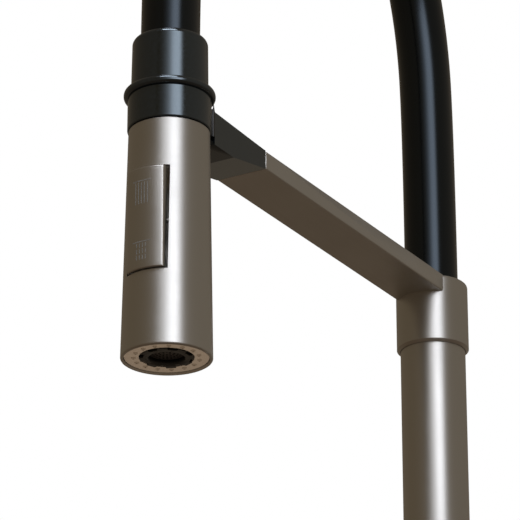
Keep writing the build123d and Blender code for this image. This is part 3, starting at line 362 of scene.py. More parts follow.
def fresh(name: str) -> tuple[bpy.types.Material, bpy.types.NodeTree, bpy.types.Node]:
    """Return a new material, its tree and its surface shader."""
    made = bpy.data.materials.new(name)
    made.use_nodes = True
    return made, made.node_tree, made.node_tree.nodes["Principled BSDF"]


def wear(tree: bpy.types.NodeTree, shader: bpy.types.Node, source: bpy.types.Node,
         reach: tuple[float, float], rough: tuple[float, float], relief: bpy.types.Node,
         strength: float, depth: float) -> None:
    """Vary a finish's roughness with one pattern and its relief with another.

    Args:
        tree, shader: the material's nodes and its surface shader.
        source: pattern that the roughness follows.
        reach: the pattern's values at the least and the greatest roughness.
        rough: the least and the greatest roughness.
        relief: pattern that the relief follows.
        strength, depth: the relief's strength, and its depth in millimetres.
    """
    spread = add(tree, "ShaderNodeMapRange",
                 {"Value": source.outputs[0], "From Min": reach[0], "From Max": reach[1],
                  "To Min": rough[0], "To Max": rough[1]})
    bump = add(tree, "ShaderNodeBump",
               {"Height": relief.outputs[0], "Strength": strength, "Distance": depth * MM})
    tree.links.new(spread.outputs[0], shader.inputs["Roughness"])
    tree.links.new(bump.outputs[0], shader.inputs["Normal"])


class Lay(Enum):
    """Way that a brushed finish runs, with the coordinates it is read from."""

    ROUND = "UV"
    ARM = "Object"


# ---- finishes
@dataclass(frozen=True)
class BrushedSteel:
    """Stainless steel 304, belt brushed: a warm grey mirror blurred across fine parallel lines.

    Brushing is about 0.05 mm between lines. That is too fine to show, so the lines are drawn
    `line` millimetres apart and `length` millimetres long.
    """

    name: str
    lay: Lay
    colour: str = "#c6c5c2"
    roughness: float = 0.4
    stretch: float = 0.6
    line: float = 0.45
    length: float = 26.0
    depth: float = 0.0012

    def material(self) -> bpy.types.Material:
        """Return the finish as a material."""
        made, tree, shader = fresh(self.name)
        shader.inputs["Base Color"].default_value = linear(self.colour)
        shader.inputs["Metallic"].default_value = 1.0
        if self.lay is Lay.ROUND:
            # the blur is widest across the lines, which run along the map's first direction
            shader.inputs["Anisotropic"].default_value = self.stretch
            shader.inputs["Anisotropic Rotation"].default_value = 0.25
            run = add(tree, "ShaderNodeTangent", direction_type="UV_MAP", uv_map="lay")
            tree.links.new(run.outputs[0], shader.inputs["Tangent"])
        fine, slow = 1 / (self.line * MM), 1 / (self.length * MM)
        scale = (slow, fine, 1.0) if self.lay is Lay.ROUND else (fine, slow, fine)
        where = add(tree, "ShaderNodeTexCoord")
        spread = add(tree, "ShaderNodeMapping",
                     {"Vector": where.outputs[self.lay.value], "Scale": scale})
        lines = add(tree, "ShaderNodeTexNoise",
                    {"Vector": spread.outputs[0], "Scale": 1.0, "Detail": 3.0, "Roughness": 0.6})
        cloud = add(tree, "ShaderNodeTexNoise",
                    {"Vector": where.outputs["Object"], "Scale": 45.0, "Detail": 2.0})
        both = add(tree, "ShaderNodeMath",
                   {0: lines.outputs[0], 1: cloud.outputs[0]}, operation="ADD")
        wear(tree, shader, both, (0.6, 1.4), (self.roughness - 0.05, self.roughness + 0.06),
             lines, 0.55, self.depth)
        return made


@dataclass(frozen=True)
class PlainMetal:
    """Turned, cast or plated metal: even, with faint turning marks and soft cloudy wear.

    A turning tool leaves marks about 0.1 mm apart; they are drawn `mark` millimetres apart.
    """

    name: str
    colour: str
    roughness: float
    mark: float = 0.5
    depth: float = 0.003

    def material(self) -> bpy.types.Material:
        """Return the finish as a material."""
        made, tree, shader = fresh(self.name)
        shader.inputs["Base Color"].default_value = linear(self.colour)
        shader.inputs["Metallic"].default_value = 1.0
        where = add(tree, "ShaderNodeTexCoord")
        marks = add(tree, "ShaderNodeTexNoise",
                    {"Vector": where.outputs["Object"], "Scale": 1 / (self.mark * MM), "Detail": 2.0})
        cloud = add(tree, "ShaderNodeTexNoise",
                    {"Vector": where.outputs["Object"], "Scale": 60.0, "Detail": 3.0})
        wear(tree, shader, cloud, (0.3, 0.7), (self.roughness - 0.04, self.roughness + 0.05),
             marks, 0.4, self.depth)
        return made


@dataclass(frozen=True)
class Moulded:
    """Moulded plastic, rubber or pressed ceramic: body colour under a thin sheen, fine grain.

    The grain of a tool's eroded surface is about 0.1 mm; it is drawn `grain` millimetres wide. The
    colour wanders a little between `colour` and `shade`, as the filler does in the real material.
    """

    name: str
    colour: str
    shade: str
    roughness: float
    ior: float = 1.5
    specular: float = 0.5
    grain: float = 0.35
    depth: float = 0.01
    tint: str = "#ffffff"

    def material(self) -> bpy.types.Material:
        """Return the finish as a material."""
        made, tree, shader = fresh(self.name)
        shader.inputs["IOR"].default_value = self.ior
        shader.inputs["Specular IOR Level"].default_value = self.specular
        shader.inputs["Specular Tint"].default_value = linear(self.tint)
        where = add(tree, "ShaderNodeTexCoord")
        grain = add(tree, "ShaderNodeTexNoise",
                    {"Vector": where.outputs["Object"], "Scale": 1 / (self.grain * MM), "Detail": 2.0})
        tone = add(tree, "ShaderNodeMapRange",
                   {"Value": grain.outputs[0], "From Min": 0.35, "From Max": 0.65})
        ramp = add(tree, "ShaderNodeValToRGB", {"Fac": tone.outputs[0]})
        ramp.color_ramp.elements[0].color = linear(self.shade)
        ramp.color_ramp.elements[1].color = linear(self.colour)
        tree.links.new(ramp.outputs[0], shader.inputs["Base Color"])
        wear(tree, shader, grain, (0.3, 0.7), (self.roughness - 0.04, self.roughness + 0.04),
             grain, 0.5, self.depth)
        return made


def finishes() -> dict[str, bpy.types.Material]:
    """Return every material of the faucet by name; three are other looks of a slot."""
    kinds = [
        BrushedSteel("brushed_steel", Lay.ROUND),
        BrushedSteel("arm_steel", Lay.ARM),
        PlainMetal("plain_steel", "#b9b8b6", 0.3),
        # black lacquer on brass: dark, with a hard cool shine
        Moulded("black_metal", "#101418", "#0c0f12", 0.14, ior=1.95, tint="#dff2ff", grain=1.2,
                depth=0.0006),
        Moulded("black_plastic", "#1b1a19", "#141312", 0.42),
        Moulded("face_plastic", "#c2b3a2", "#b3a493", 0.46, grain=0.5),
        Moulded("nozzle_rubber", "#b2a392", "#a59786", 0.55),
        Moulded("hose_rubber", "#050504", "#030303", 0.2, ior=1.52, tint="#d8ecff", depth=0.001),
        Moulded("liner_rubber", "#a8a7a3", "#9b9a97", 0.5),
        Moulded("seal_rubber", "#181818", "#101010", 0.6),
        PlainMetal("brass", "#c9a55a", 0.3),
        Moulded("white_plastic", "#dedcd6", "#d2d0ca", 0.4),
        Moulded("grey_plastic", "#7d7f80", "#717374", 0.42),
        Moulded("disc_ceramic", "#e7e3d8", "#dedacf", 0.16, ior=1.7, grain=0.2, depth=0.002),
        PlainMetal("nickel", "#b6b3a8", 0.18),
        Moulded("mark_etch", "#8d9092", "#85888a", 0.5),
        Moulded("mesh_dark", "#2a2522", "#1e1a18", 0.4),
    ]
    return {kind.name: kind.material() for kind in kinds}


# ---- shared part work
class Maker:
    """Dresses pieces and ties them to the frame."""

    def __init__(self) -> None:
        """Read the record's slots and bodies and make the materials."""
        record = frame["record"]
        self.slots = {row["node"]: row["material_slot"] for row in record["subparts"]}
        self.bodies = {n: body for body, nodes in record["behaviour"]["bodies"].items() for n in nodes}
        self.finish = finishes()
        self.done: set[str] = set()

    def dress(self, piece: bpy.types.Object, slot: str, look: str = "") -> None:
        """Give a piece its material: the slot's own, or another look of it."""
        piece.data.materials.clear()
        piece.data.materials.append(self.finish[look or slot])

    def stand_in(self, piece: bpy.types.Object, *nodes: str, look: str = "", ride: bool = True) -> None:
        """Dress a piece, let it stand for CAD nodes and ride on their body.

        Args:
            piece: the new piece.
            nodes: the CAD nodes that it replaces; the first one gives its slot and body.
            look: another material than the slot's.
            ride: whether it rides; a piece that bends between bodies doesn't.
        """
        self.dress(piece, self.slots[nodes[0]], look)
        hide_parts(*nodes)
        if ride:
            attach(piece, self.bodies[nodes[0]])
        self.done.update(nodes)
        LOG.info("%s stands for %s", piece.name, ", ".join(nodes))

    def extra(self, piece: bpy.types.Object, slot: str, body: str, look: str = "") -> None:
        """Dress a piece that no CAD node has, and let it ride on a body."""
        self.dress(piece, slot, look)
        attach(piece, body)
        LOG.info("%s rides on %s", piece.name, body)

    def copies(self, *nodes: str, look: str = "") -> None:
        """Let smoothed copies stand for CAD nodes whose own shape is right."""
        for node in nodes:
            self.stand_in(welded(node), node, look=look)

    def dress_rest(self) -> None:
        """Dress every CAD node that is still shown."""
        for node, piece in frame["nodes"].items():
            if node not in self.done:
                look = "arm_steel" if self.slots[node] == "brushed_steel" else ""
                piece.data.materials.clear()
                piece.data.materials.append(self.finish[look or self.slots[node]])
                LOG.info("%s keeps its CAD shape", node)


# ---- camera, light, floor
@dataclass(frozen=True)
class Studio:
    """Plain soft studio: two soft boxes and a fill, a dim warm room to reflect, a pale floor."""

    camera_place: tuple[float, float, float] = (0.60878, -1.17025, -0.2313)
    camera_turn: tuple[float, float, float] = (112.47, 0.0, 30.73)
    lens: float = 225.8
    box_place: tuple[float, float, float] = (0.983, -1.787, 1.0)
    box_aim: tuple[float, float, float] = (0.0, -0.214, 0.25)
    box_size: tuple[float, float] = (3.0, 1.25)
    box_power: float = 40.0
    box_colour: tuple[float, float, float] = (0.895, 0.925, 1.0)
    # share of the box's width from its left side, and its brightness there
    box_shade: tuple[tuple[float, float], ...] = (
        (0.0, 0.0), (0.2, 0.0), (0.33, 0.06), (0.44, 0.22), (0.52, 0.48), (0.62, 0.9), (0.69, 1.0),
        (0.78, 1.0), (0.85, 0.7), (0.91, 0.28), (0.97, 0.05), (1.0, 0.0))
    high_place: tuple[float, float, float] = (0.42, -1.0, 1.8)
    high_size: tuple[float, float] = (0.9, 0.6)
    high_power: float = 14.0
    fill_place: tuple[float, float, float] = (0.1, -0.35, -1.5)
    fill_size: tuple[float, float] = (1.0, 1.0)
    fill_power: float = 11.0
    fill_colour: tuple[float, float, float] = (1.0, 0.93, 0.84)
    room_right: tuple[float, float, float] = (0.215, 0.184, 0.145)
    room_left: tuple[float, float, float] = (0.14, 0.108, 0.07)
    room_down: tuple[float, float, float] = (0.097, 0.066, 0.043)
    floor_inner: float = 17.5 * MM
    floor_outer: float = 0.45
    floor_glow: float = 0.42

    def build(self) -> None:
        """Make the camera, the lights, the room and the floor."""
        self.camera()
        self.soft_box()
        self.high_box()
        self.fill()
        self.room()
        self.floor()
        bpy.context.scene.view_settings.view_transform = "Standard"

    def camera(self) -> None:
        """Place the camera below the arm, looking up at the spray's face."""
        data = bpy.data.cameras.new("camera")
        data.lens = self.lens
        data.sensor_width = 36.0
        made = placed("camera", data)
        made.location = self.camera_place
        made.rotation_euler = [math.radians(a) for a in self.camera_turn]
        bpy.context.scene.camera = made

    def lamp(self, name: str, place: tuple[float, ...], size: tuple[float, float], power: float,
             colour: tuple[float, float, float]) -> bpy.types.Object:
        """Hang a soft rectangular light, turned to the spray.

        Args:
            name: the light's name.
            place: its place, in metres.
            size: its width and height, in metres.
            power: its power in watts.
            colour: its linear colour.

        Returns:
            The light, which the camera doesn't see.
        """
        data = bpy.data.lights.new(name, "AREA")
        data.shape = "RECTANGLE"
        data.size, data.size_y = size
        data.energy = power
        data.color = colour
        made = placed(name, data)
        made.location = place
        away = np.array(place) - np.array(self.box_aim)
        tilt = math.atan2(math.hypot(away[0], away[1]), away[2])
        made.rotation_euler = (tilt, 0.0, math.atan2(away[1], away[0]) + math.pi / 2)
        made.visible_camera = False
        return made

    def soft_box(self) -> None:
        """Hang the wide soft box at the right front, brightest towards its right side."""
        made = self.lamp("soft_box", self.box_place, self.box_size, self.box_power, self.box_colour)
        made.data.use_nodes = True
        tree = made.data.node_tree
        tree.nodes.clear()
        where = add(tree, "ShaderNodeTexCoord")
        split = add(tree, "ShaderNodeSeparateXYZ", {0: where.outputs["UV"]})
        shade = add(tree, "ShaderNodeFloatCurve", {"Value": split.outputs["X"]})
        points = shade.mapping.curves[0].points
        for _ in range(len(self.box_shade) - len(points)):
            points.new(0.5, 0.5)
        for point, place in zip(points, self.box_shade):
            point.location = place
        shade.mapping.update()
        glow = add(tree, "ShaderNodeEmission", {"Strength": shade.outputs[0]})
        add(tree, "ShaderNodeOutputLight", {"Surface": glow.outputs[0]})

    def high_box(self) -> None:
        """Hang a second soft light higher up, which the brushed steel smears down its sides."""
        self.lamp("high_box", self.high_place, self.high_size, self.high_power, self.box_colour)

    def fill(self) -> None:
        """Lay a soft fill light below, facing up, which lifts the undersides that don't mirror."""
        made = self.lamp("fill", self.fill_place, self.fill_size, self.fill_power, self.fill_colour)
        made.rotation_euler = (math.pi, 0.0, 0.0)
        made.visible_glossy = False

    def room(self) -> None:
        """Make the room: white where the camera sees it, and a dim warm gradient in reflections.

        The gradient goes from left to right with the direction's part along the line from the
        room's left to its right, and then to the dark floor colour as the direction points down.
        """
        world = bpy.data.worlds.new("room")
        world.use_nodes = True
        tree = world.node_tree
        tree.nodes.clear()
        where = add(tree, "ShaderNodeTexCoord")
        side = add(tree, "ShaderNodeVectorMath",
                   {0: where.outputs["Generated"], 1: (0.86, 0.51, 0.0)}, operation="DOT_PRODUCT")
        across = add(tree, "ShaderNodeMapRange",
                     {"Value": side.outputs["Value"], "From Min": -1.0, "From Max": 1.0})
        split = add(tree, "ShaderNodeSeparateXYZ", {0: where.outputs["Generated"]})
        under = add(tree, "ShaderNodeMapRange",
                    {"Value": split.outputs["Z"], "From Min": 0.0, "From Max": -0.7})
        path = add(tree, "ShaderNodeLightPath")
        colour = (*self.room_left, 1.0)
        for share, other in ((across.outputs[0], self.room_right), (under.outputs[0], self.room_down),
                             (path.outputs["Is Camera Ray"], (1.0, 1.0, 1.0))):
            mix = add(tree, "ShaderNodeMix", {0: share, 6: colour, 7: (*other, 1.0)}, data_type="RGBA")
            colour = mix.outputs[2]
        glow = add(tree, "ShaderNodeBackground", {"Color": colour, "Strength": 1.0})
        add(tree, "ShaderNodeOutputWorld", {"Surface": glow.outputs[0]})
        bpy.context.scene.world = world

    def floor(self) -> None:
        """Lay a pale round floor with a hole that the shank goes through."""
        radius = np.array([self.floor_inner, self.floor_outer])[:, None]
        angle = np.arange(SEGMENTS)[None] / SEGMENTS * math.tau
        points = COLUMN.place(radius, np.zeros((2, 1)), angle)
        start = np.arange(SEGMENTS)
        after = (start + 1) % SEGMENTS
        mesh = bpy.data.meshes.new("floor")
        faces = np.stack([start, start + SEGMENTS, after + SEGMENTS, after], axis=1)
        mesh.from_pydata(points.reshape(-1, 3), [], faces)
        made = placed("floor", mesh)
        paint = Moulded("floor_paint", "#e6e4e0", "#e2e0dc", 0.7, grain=2.0).material()
        # the room is dim, so the floor has a faint glow that keeps it pale
        shader = next(n for n in paint.node_tree.nodes if n.type == "BSDF_PRINCIPLED")
        shader.inputs["Emission Color"].default_value = linear("#f2f1ee")
        shader.inputs["Emission Strength"].default_value = self.floor_glow
        mesh.materials.append(paint)
        # the floor neither shows in reflections nor hides the fill from the undersides
        made.visible_glossy = False
        made.visible_diffuse = False
        made.visible_shadow = False


# ---- hose
@dataclass(frozen=True)
class ArchHose:
    """Black arch hose with its liner: out of the collar, over in a wide arch, into the spray."""

    steps: int = 260
    sides: int = 64
    bore: float = 9.6 * MM
    liner: float = 6.5 * MM
    liner_bore: float = 4.0 * MM
    # distance in front of the column's axis and height of each control point
    route: tuple[tuple[float, float], ...] = (
        (0.0, 0.2964), (0.0, 0.380), (0.0048, 0.4257), (0.0216, 0.4664), (0.0503, 0.4946),
        (0.0874, 0.5099), (0.1266, 0.5099), (0.1637, 0.4946), (0.1924, 0.4664), (0.2092, 0.4257),
        (0.2127, 0.378), (0.214, 0.338), (0.214, 0.3151),
    )

    def line(self) -> np.ndarray:
        """Return evenly spaced points of the hose's smooth line.

        The line is a NURBS curve of order 3 whose control points are the route; it is read back
        as points and divided into equal lengths.
        """
        data = bpy.data.curves.new("hose_line", "CURVE")
        data.dimensions = "3D"
        data.resolution_u = 24
        spline = data.splines.new("NURBS")
        spline.points.add(len(self.route) - 1)
        flat = np.array([(0.0, -s, z, 1.0) for s, z in self.route])
        spline.points.foreach_set("co", flat.ravel())
        spline.order_u = 3
        spline.use_endpoint_u = True
        holder = placed("hose_line", data)
        shown = holder.evaluated_get(bpy.context.evaluated_depsgraph_get())
        mesh = bpy.data.meshes.new_from_object(shown)
        points = np.empty(len(mesh.vertices) * 3)
        mesh.vertices.foreach_get("co", points)
        points = points.reshape(-1, 3)
        bpy.data.objects.remove(holder)
        bpy.data.meshes.remove(mesh)
        travel = np.concatenate([[0.0], np.cumsum(np.linalg.norm(np.diff(points, axis=0), axis=1))])
        even = np.linspace(0, travel[-1], self.steps)
        return np.stack([np.interp(even, travel, points[:, i]) for i in range(3)], axis=1)

    def layer(self, name: str, line: np.ndarray, outer: float, inner: float) -> bpy.types.Object:
        """Return one tube of the hose.

        A ring of points stands across the line's tangent at each of its points: outwards along
        the line at the outer radius, and back along it at the inner one.
        """
        tangent = np.gradient(line, axis=0)
        tangent /= np.linalg.norm(tangent, axis=1)[:, None]
        side = np.broadcast_to([1.0, 0.0, 0.0], tangent.shape)
        other = np.cross(tangent, side)
        angle = np.arange(self.sides)[None, :, None] / self.sides * math.tau
        ring = np.cos(angle) * side[:, None] + np.sin(angle) * other[:, None]
        there = line[:, None] + outer * ring
        back = (line[:, None] + inner * ring)[::-1]
        points = np.concatenate([there, back])
        length = np.linspace(0, 1, len(points) + 1)
        round_way = np.linspace(0, math.tau * outer, self.sides + 1)
        uv = np.stack(np.broadcast_arrays(round_way[None], length[:, None]), axis=-1)
        return grid_object(name, points, (True, True), uv)

    def build(self, maker: Maker) -> None:
        line = self.line()
        radius = Span.of("hose_sleeve").radius
        sleeve = self.layer("arch_hose", line, radius, self.bore)
        liner = self.layer("arch_hose_liner", line, self.liner, self.liner_bore)
        for piece, node in ((sleeve, "hose_sleeve"), (liner, "hose_liner")):
            maker.stand_in(piece, node, ride=False)
            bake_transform(piece)


# ---- column and swivel
@dataclass(frozen=True)
class Column:
    """Steel riser tube and the collar that turns on it."""

    wall: float = 1.2 * MM
    collar_edge: float = 1.1 * MM
    collar_round: float = 1.5 * MM
    collar_top: float = 4.0 * MM
    gap: float = 0.14 * MM
    hose_gap: float = 0.3 * MM
    edge: float = 0.2 * MM
    chamfer_edge: float = 0.15 * MM
    mouth_edge: float = 0.3 * MM
    screw: float = 1.5 * MM
    screw_from: float = 14.5 * MM
    screw_to: float = 17.0 * MM

    def build(self, maker: Maker) -> None:
        """Make the tube and the collar."""
        tube = Span.of("column_tube")
        outer, inner = tube.radius, tube.radius - self.wall
        shape = outline([(inner, tube.bottom), (outer, tube.bottom, self.edge),
                         (outer, tube.top, self.edge), (inner, tube.top)])
        maker.stand_in(turned("riser_tube", shape, COLUMN), "column_tube")
        collar = Span.of("swivel_collar")
        bore, hole = tube.radius + self.gap, Span.of("hose_sleeve").radius + self.hose_gap
        ceiling = collar.top - self.collar_top
        shape = outline([
            (bore, collar.bottom),
            (collar.radius - self.collar_edge, collar.bottom, self.chamfer_edge),
            (collar.radius, collar.bottom + self.collar_edge, self.chamfer_edge),
            (collar.radius, collar.top, self.collar_round), (hole, collar.top, self.mouth_edge),
            (hole, ceiling), (bore, ceiling),
        ])
        piece = turned("turning_collar", shape, COLUMN)
        screw = Span.of("collar_screw")
        # a hole along Y: its line is laid along X and then turned to Y
        shape = outline([(0, self.screw_from), (self.screw, self.screw_from),
                         (self.screw, self.screw_to), (0, self.screw_to)], closed=False)
        tool = turned("screw_way", shape, Line(along=Along.OUT), closed=False)
        tool.data.transform(quarter_turn(screw.middle[2]))
        carve(piece, tool, "DIFFERENCE")
        maker.stand_in(piece, "swivel_collar")
        maker.copies("collar_screw")


def quarter_turn(height: float) -> Matrix:
    """Return the turn that lays a piece made along +X along +Y, at a height."""
    return Matrix.Translation((0.0, 0.0, height)) @ Matrix.Rotation(math.pi / 2, 4, "Z")


@dataclass(frozen=True)
class Arm:
    """Flat docking arm, its black end piece and the cradle."""

    def build(self, maker: Maker) -> None:
        """Smooth the arm's pieces; their CAD shapes are right."""
        maker.copies("arm_bar", look="arm_steel")
        maker.copies("dock_holder", "dock_cradle", "dock_screws")


# ---- spray
@dataclass(frozen=True)
class HoseEnd:
    """Black collar, bead and sleeve between the hose and the spray head."""

    bore: float = 13.0 * MM
    collar_top_r: float = 14.62 * MM
    collar_round: float = 2.2 * MM
    keeper_r: float = 14.6 * MM
    sleeve_floor: float = 1.6 * MM
    hose_gap: float = 0.5 * MM
    mouth_depth: float = 12.4 * MM
    foot_edge: float = 0.25 * MM
    mouth_edge: float = 0.3 * MM
    sleeve_low_edge: float = 0.4 * MM
    sleeve_top_edge: float = 0.2 * MM
    bead_flat: float = 0.01 * MM
    bead_under: float = 0.8

    def build(self, maker: Maker) -> None:
        """Make the three turned pieces."""
        collar, bead, sleeve = (Span.of(n) for n in ("end_collar", "dock_flange", "dock_sleeve"))
        hose = Span.of("hose_sleeve").radius + self.hose_gap
        shape = outline([
            (self.bore, collar.bottom), (collar.radius, collar.bottom, self.foot_edge),
            (self.collar_top_r, collar.top, self.collar_round), (hose, collar.top, self.mouth_edge),
            (hose, collar.top - self.mouth_depth), (self.bore, collar.top - self.mouth_depth),
        ])
        maker.stand_in(turned("hose_collar", shape, SPRAY), "end_collar")
        half = (bead.top - bead.bottom) / 2 - self.bead_flat
        shape = outline([
            (self.bore, bead.bottom), (bead.radius, bead.bottom, half * self.bead_under),
            (bead.radius, bead.top, half), (self.bore, bead.top),
        ])
        maker.stand_in(turned("docking_bead", shape, SPRAY), "dock_flange")
        floor = sleeve.bottom + self.sleeve_floor
        shape = outline([
            (self.bore, sleeve.bottom), (sleeve.radius, sleeve.bottom, self.sleeve_low_edge),
            (sleeve.radius, sleeve.top, self.sleeve_top_edge), (self.keeper_r, sleeve.top),
            (self.keeper_r, floor), (self.bore, floor),
        ])
        maker.stand_in(turned("docking_sleeve", shape, SPRAY), "dock_sleeve")


@dataclass(frozen=True)
class SprayHead:
    """Steel case of the spray with its window, the rocker in it, and the face below."""

    wall: float = 1.1 * MM
    top_wall: float = 1.2 * MM
    top_r: float = 15.6 * MM
    neck: float = 10.45 * MM
    window_half: float = 9.0 * MM
    window_top: float = 0.4 * MM
    window_bottom: float = 42.7 * MM
    rocker_half: float = 8.0 * MM
    rocker_gap: float = 0.7 * MM
    rocker_proud: float = 1.75 * MM
    rocker_tilt: float = 1.75
    rocker_edge: float = 0.55 * MM
    rocker_depth: float = 2.4 * MM
    pivot_depth: float = 10.2 * MM
    case_low_edge: float = 0.7 * MM
    case_top_edge: float = 0.3 * MM
    # the window's cut, from and to a distance in front of the spray's axis
    cut_from: float = 30.0 * MM
    cut_to: float = 5.0 * MM
    # marks: thickness, bar's half width, middle, and how deep and how proud they sit
    mark: float = 0.24 * MM
    bar_half: float = 4.1 * MM
    marks_x: float = -0.5 * MM
    mark_sink: float = 0.15 * MM
    mark_proud: float = 0.03 * MM
    # upper bar below the rocker's top, and lower bar above its bottom
    upper_bar: float = 5.4 * MM
    lower_bar: float = 10.9 * MM
    # dashes below a bar, and each group's count and half spread, all lengths in millimetres
    whole: tuple[tuple[float, float], ...] = ((0.7, 9.4),)
    broken: tuple[tuple[float, float], ...] = ((0.7, 2.5), (3.1, 4.9), (5.5, 7.3))
    upper_lines: tuple[int, float] = (5, 2.65)
    lower_lines: tuple[int, float] = (4, 2.0)

    def shell_radius(self, z: np.ndarray) -> np.ndarray:
        """Return the case's radius at a height; it widens evenly from top to bottom."""
        shell = Span.of("spray_shell")
        return self.top_r + (shell.radius - self.top_r) * (shell.top - z) / (shell.top - shell.bottom)

    def build(self, maker: Maker) -> None:
        """Make the case, the rocker and its marks."""
        self.case(maker)
        self.rocker(maker)
        maker.copies("spray_core", "rocker_pin", "diverter_spool")

    def case(self, maker: Maker) -> None:
        """Turn the case and cut its window."""
        shell = Span.of("spray_shell")
        ceiling = shell.top - self.top_wall
        shape = outline([
            (shell.radius - self.wall, shell.bottom), (shell.radius, shell.bottom, self.case_low_edge),
            (self.top_r, shell.top, self.case_top_edge), (self.neck, shell.top), (self.neck, ceiling),
            (self.top_r - self.wall, ceiling),
        ], run=3 * MM)
        piece = turned("spray_case", shape, SPRAY)
        edge = Span.of("swivel_collar").bottom
        low = (-self.window_half, SPRAY.y - self.cut_from, edge - self.window_bottom)
        high = (self.window_half, SPRAY.y - self.cut_to, edge - self.window_top)
        carve(piece, block("window", low, high), "DIFFERENCE")
        maker.stand_in(piece, "spray_shell")

    def front(self, x: np.ndarray, z: np.ndarray, proud: float | np.ndarray) -> np.ndarray:
        """Return points of the rocker's curved front.

        Before its tilt the front is the case's own surface moved out by `proud`: y = axis -
        square root of (radius squared - x squared) - proud. Then it turns about the pin by the
        rest tilt.
        """
        edge = Span.of("swivel_collar").bottom
        pin_y, pin_z = SPRAY.y - self.pivot_depth, edge - (self.window_top + self.window_bottom) / 2
        turn = math.radians(self.rocker_tilt)
        dy = SPRAY.y - np.sqrt(self.shell_radius(z) ** 2 - x ** 2) - proud - pin_y
        dz = z - pin_z
        return np.stack([x, pin_y + dy * math.cos(turn) - dz * math.sin(turn),
                         pin_z + dy * math.sin(turn) + dz * math.cos(turn)], axis=-1)

    def rocker(self, maker: Maker) -> None:
        """Make the rocker's plate and its marks.

        The plate is a grid over x and z. Within the edge round of a side the front sinks by
        round - square root of (round squared - (round - distance) squared), and the outermost
        rows and columns drop to the plate's back.
        """
        edge = Span.of("swivel_collar").bottom
        low = edge - self.window_bottom + self.rocker_gap
        high = edge - self.window_top - self.rocker_gap
        size = self.rocker_edge
        bend = size * (1 - np.cos(np.linspace(0, math.pi / 2, 7)))

        def stations(start: float, stop: float, count: int) -> tuple[np.ndarray, np.ndarray]:
            """Return places from one side to the other, and which of them lie on the back."""
            inside = np.linspace(start + size, stop - size, count)[1:-1]
            places = np.concatenate([[start], start + bend, inside, (stop - bend)[::-1], [stop]])
            back = np.zeros(len(places), bool)
            back[[0, -1]] = True
            return places, back

        x, x_back = stations(-self.rocker_half, self.rocker_half, 25)
        z, z_back = stations(low, high, 22)
        x_grid, z_grid = np.meshgrid(x, z)
        gap = np.minimum(np.minimum(x_grid + self.rocker_half, self.rocker_half - x_grid),
                         np.minimum(z_grid - low, high - z_grid)).clip(0, size)
        sink = size - np.sqrt(size ** 2 - (size - gap) ** 2)
        sink = np.where(x_back[None] | z_back[:, None], self.rocker_depth, sink)
        points = self.front(x_grid, z_grid, self.rocker_proud - sink)
        uv = np.stack(np.meshgrid(np.append(x, x[-1]), np.append(z, z[-1])), axis=-1)
        plate = grid_object("rocker_plate", points, (False, False), uv)
        maker.stand_in(plate, "mode_rocker")
        self.marks(maker, high, low)

    def marks(self, maker: Maker, high: float, low: float) -> None:
        """Make the plain marks of the two spray patterns: a bar with long or broken jets."""
        strips: list[tuple[float, float, float, float]] = []
        mid, half = self.marks_x, self.mark / 2
        for base, dashes, (count, spread) in ((high - self.upper_bar, self.whole, self.upper_lines),
                                              (low + self.lower_bar, self.broken, self.lower_lines)):
            strips.append((mid - self.bar_half, mid + self.bar_half, base - self.mark, base))
            for x in mid + np.linspace(-spread, spread, count) * MM:
                strips += [(x - half, x + half, base - b * MM, base - a * MM) for a, b in dashes]
        layers: list[np.ndarray] = []
        for x0, x1, z0, z1 in strips:
            x, z = np.meshgrid(np.linspace(x0, x1, 9), np.linspace(z0, z1, 3))
            layers.append(np.stack([self.front(x, z, self.rocker_proud - self.mark_sink),
                                    self.front(x, z, self.rocker_proud + self.mark_proud)]))
        mesh_parts = [slab(f"mark_{index}", layer) for index, layer in enumerate(layers)]
        piece = join("rocker_marks", mesh_parts)
        maker.extra(piece, maker.slots["mode_rocker"], "rocker", look="mark_etch")


def slab(name: str, layers: np.ndarray) -> bpy.types.Object:
    """Thin closed slab between two grids of points, an inner and an outer one.

    Rows of the wrapped grid go over the outer grid and back under the inner one; its open sides
    are filled.
    """
    loop = np.concatenate([layers[1], layers[0][::-1]])
    return grid_object(name, loop, (True, False), np.zeros((len(loop) + 1, loop.shape[1] + 1, 2)))


def join(name: str, parts: list[bpy.types.Object]) -> bpy.types.Object:
    """Join objects into one, which gets a new name."""
    work = bmesh.new()
    for part in parts:
        work.from_mesh(part.data)
    mesh = bpy.data.meshes.new(name)
    work.to_mesh(mesh)
    work.free()
    for part in parts:
        bpy.data.objects.remove(part)
    made = placed(name, mesh)
    smooth(made)
    return made


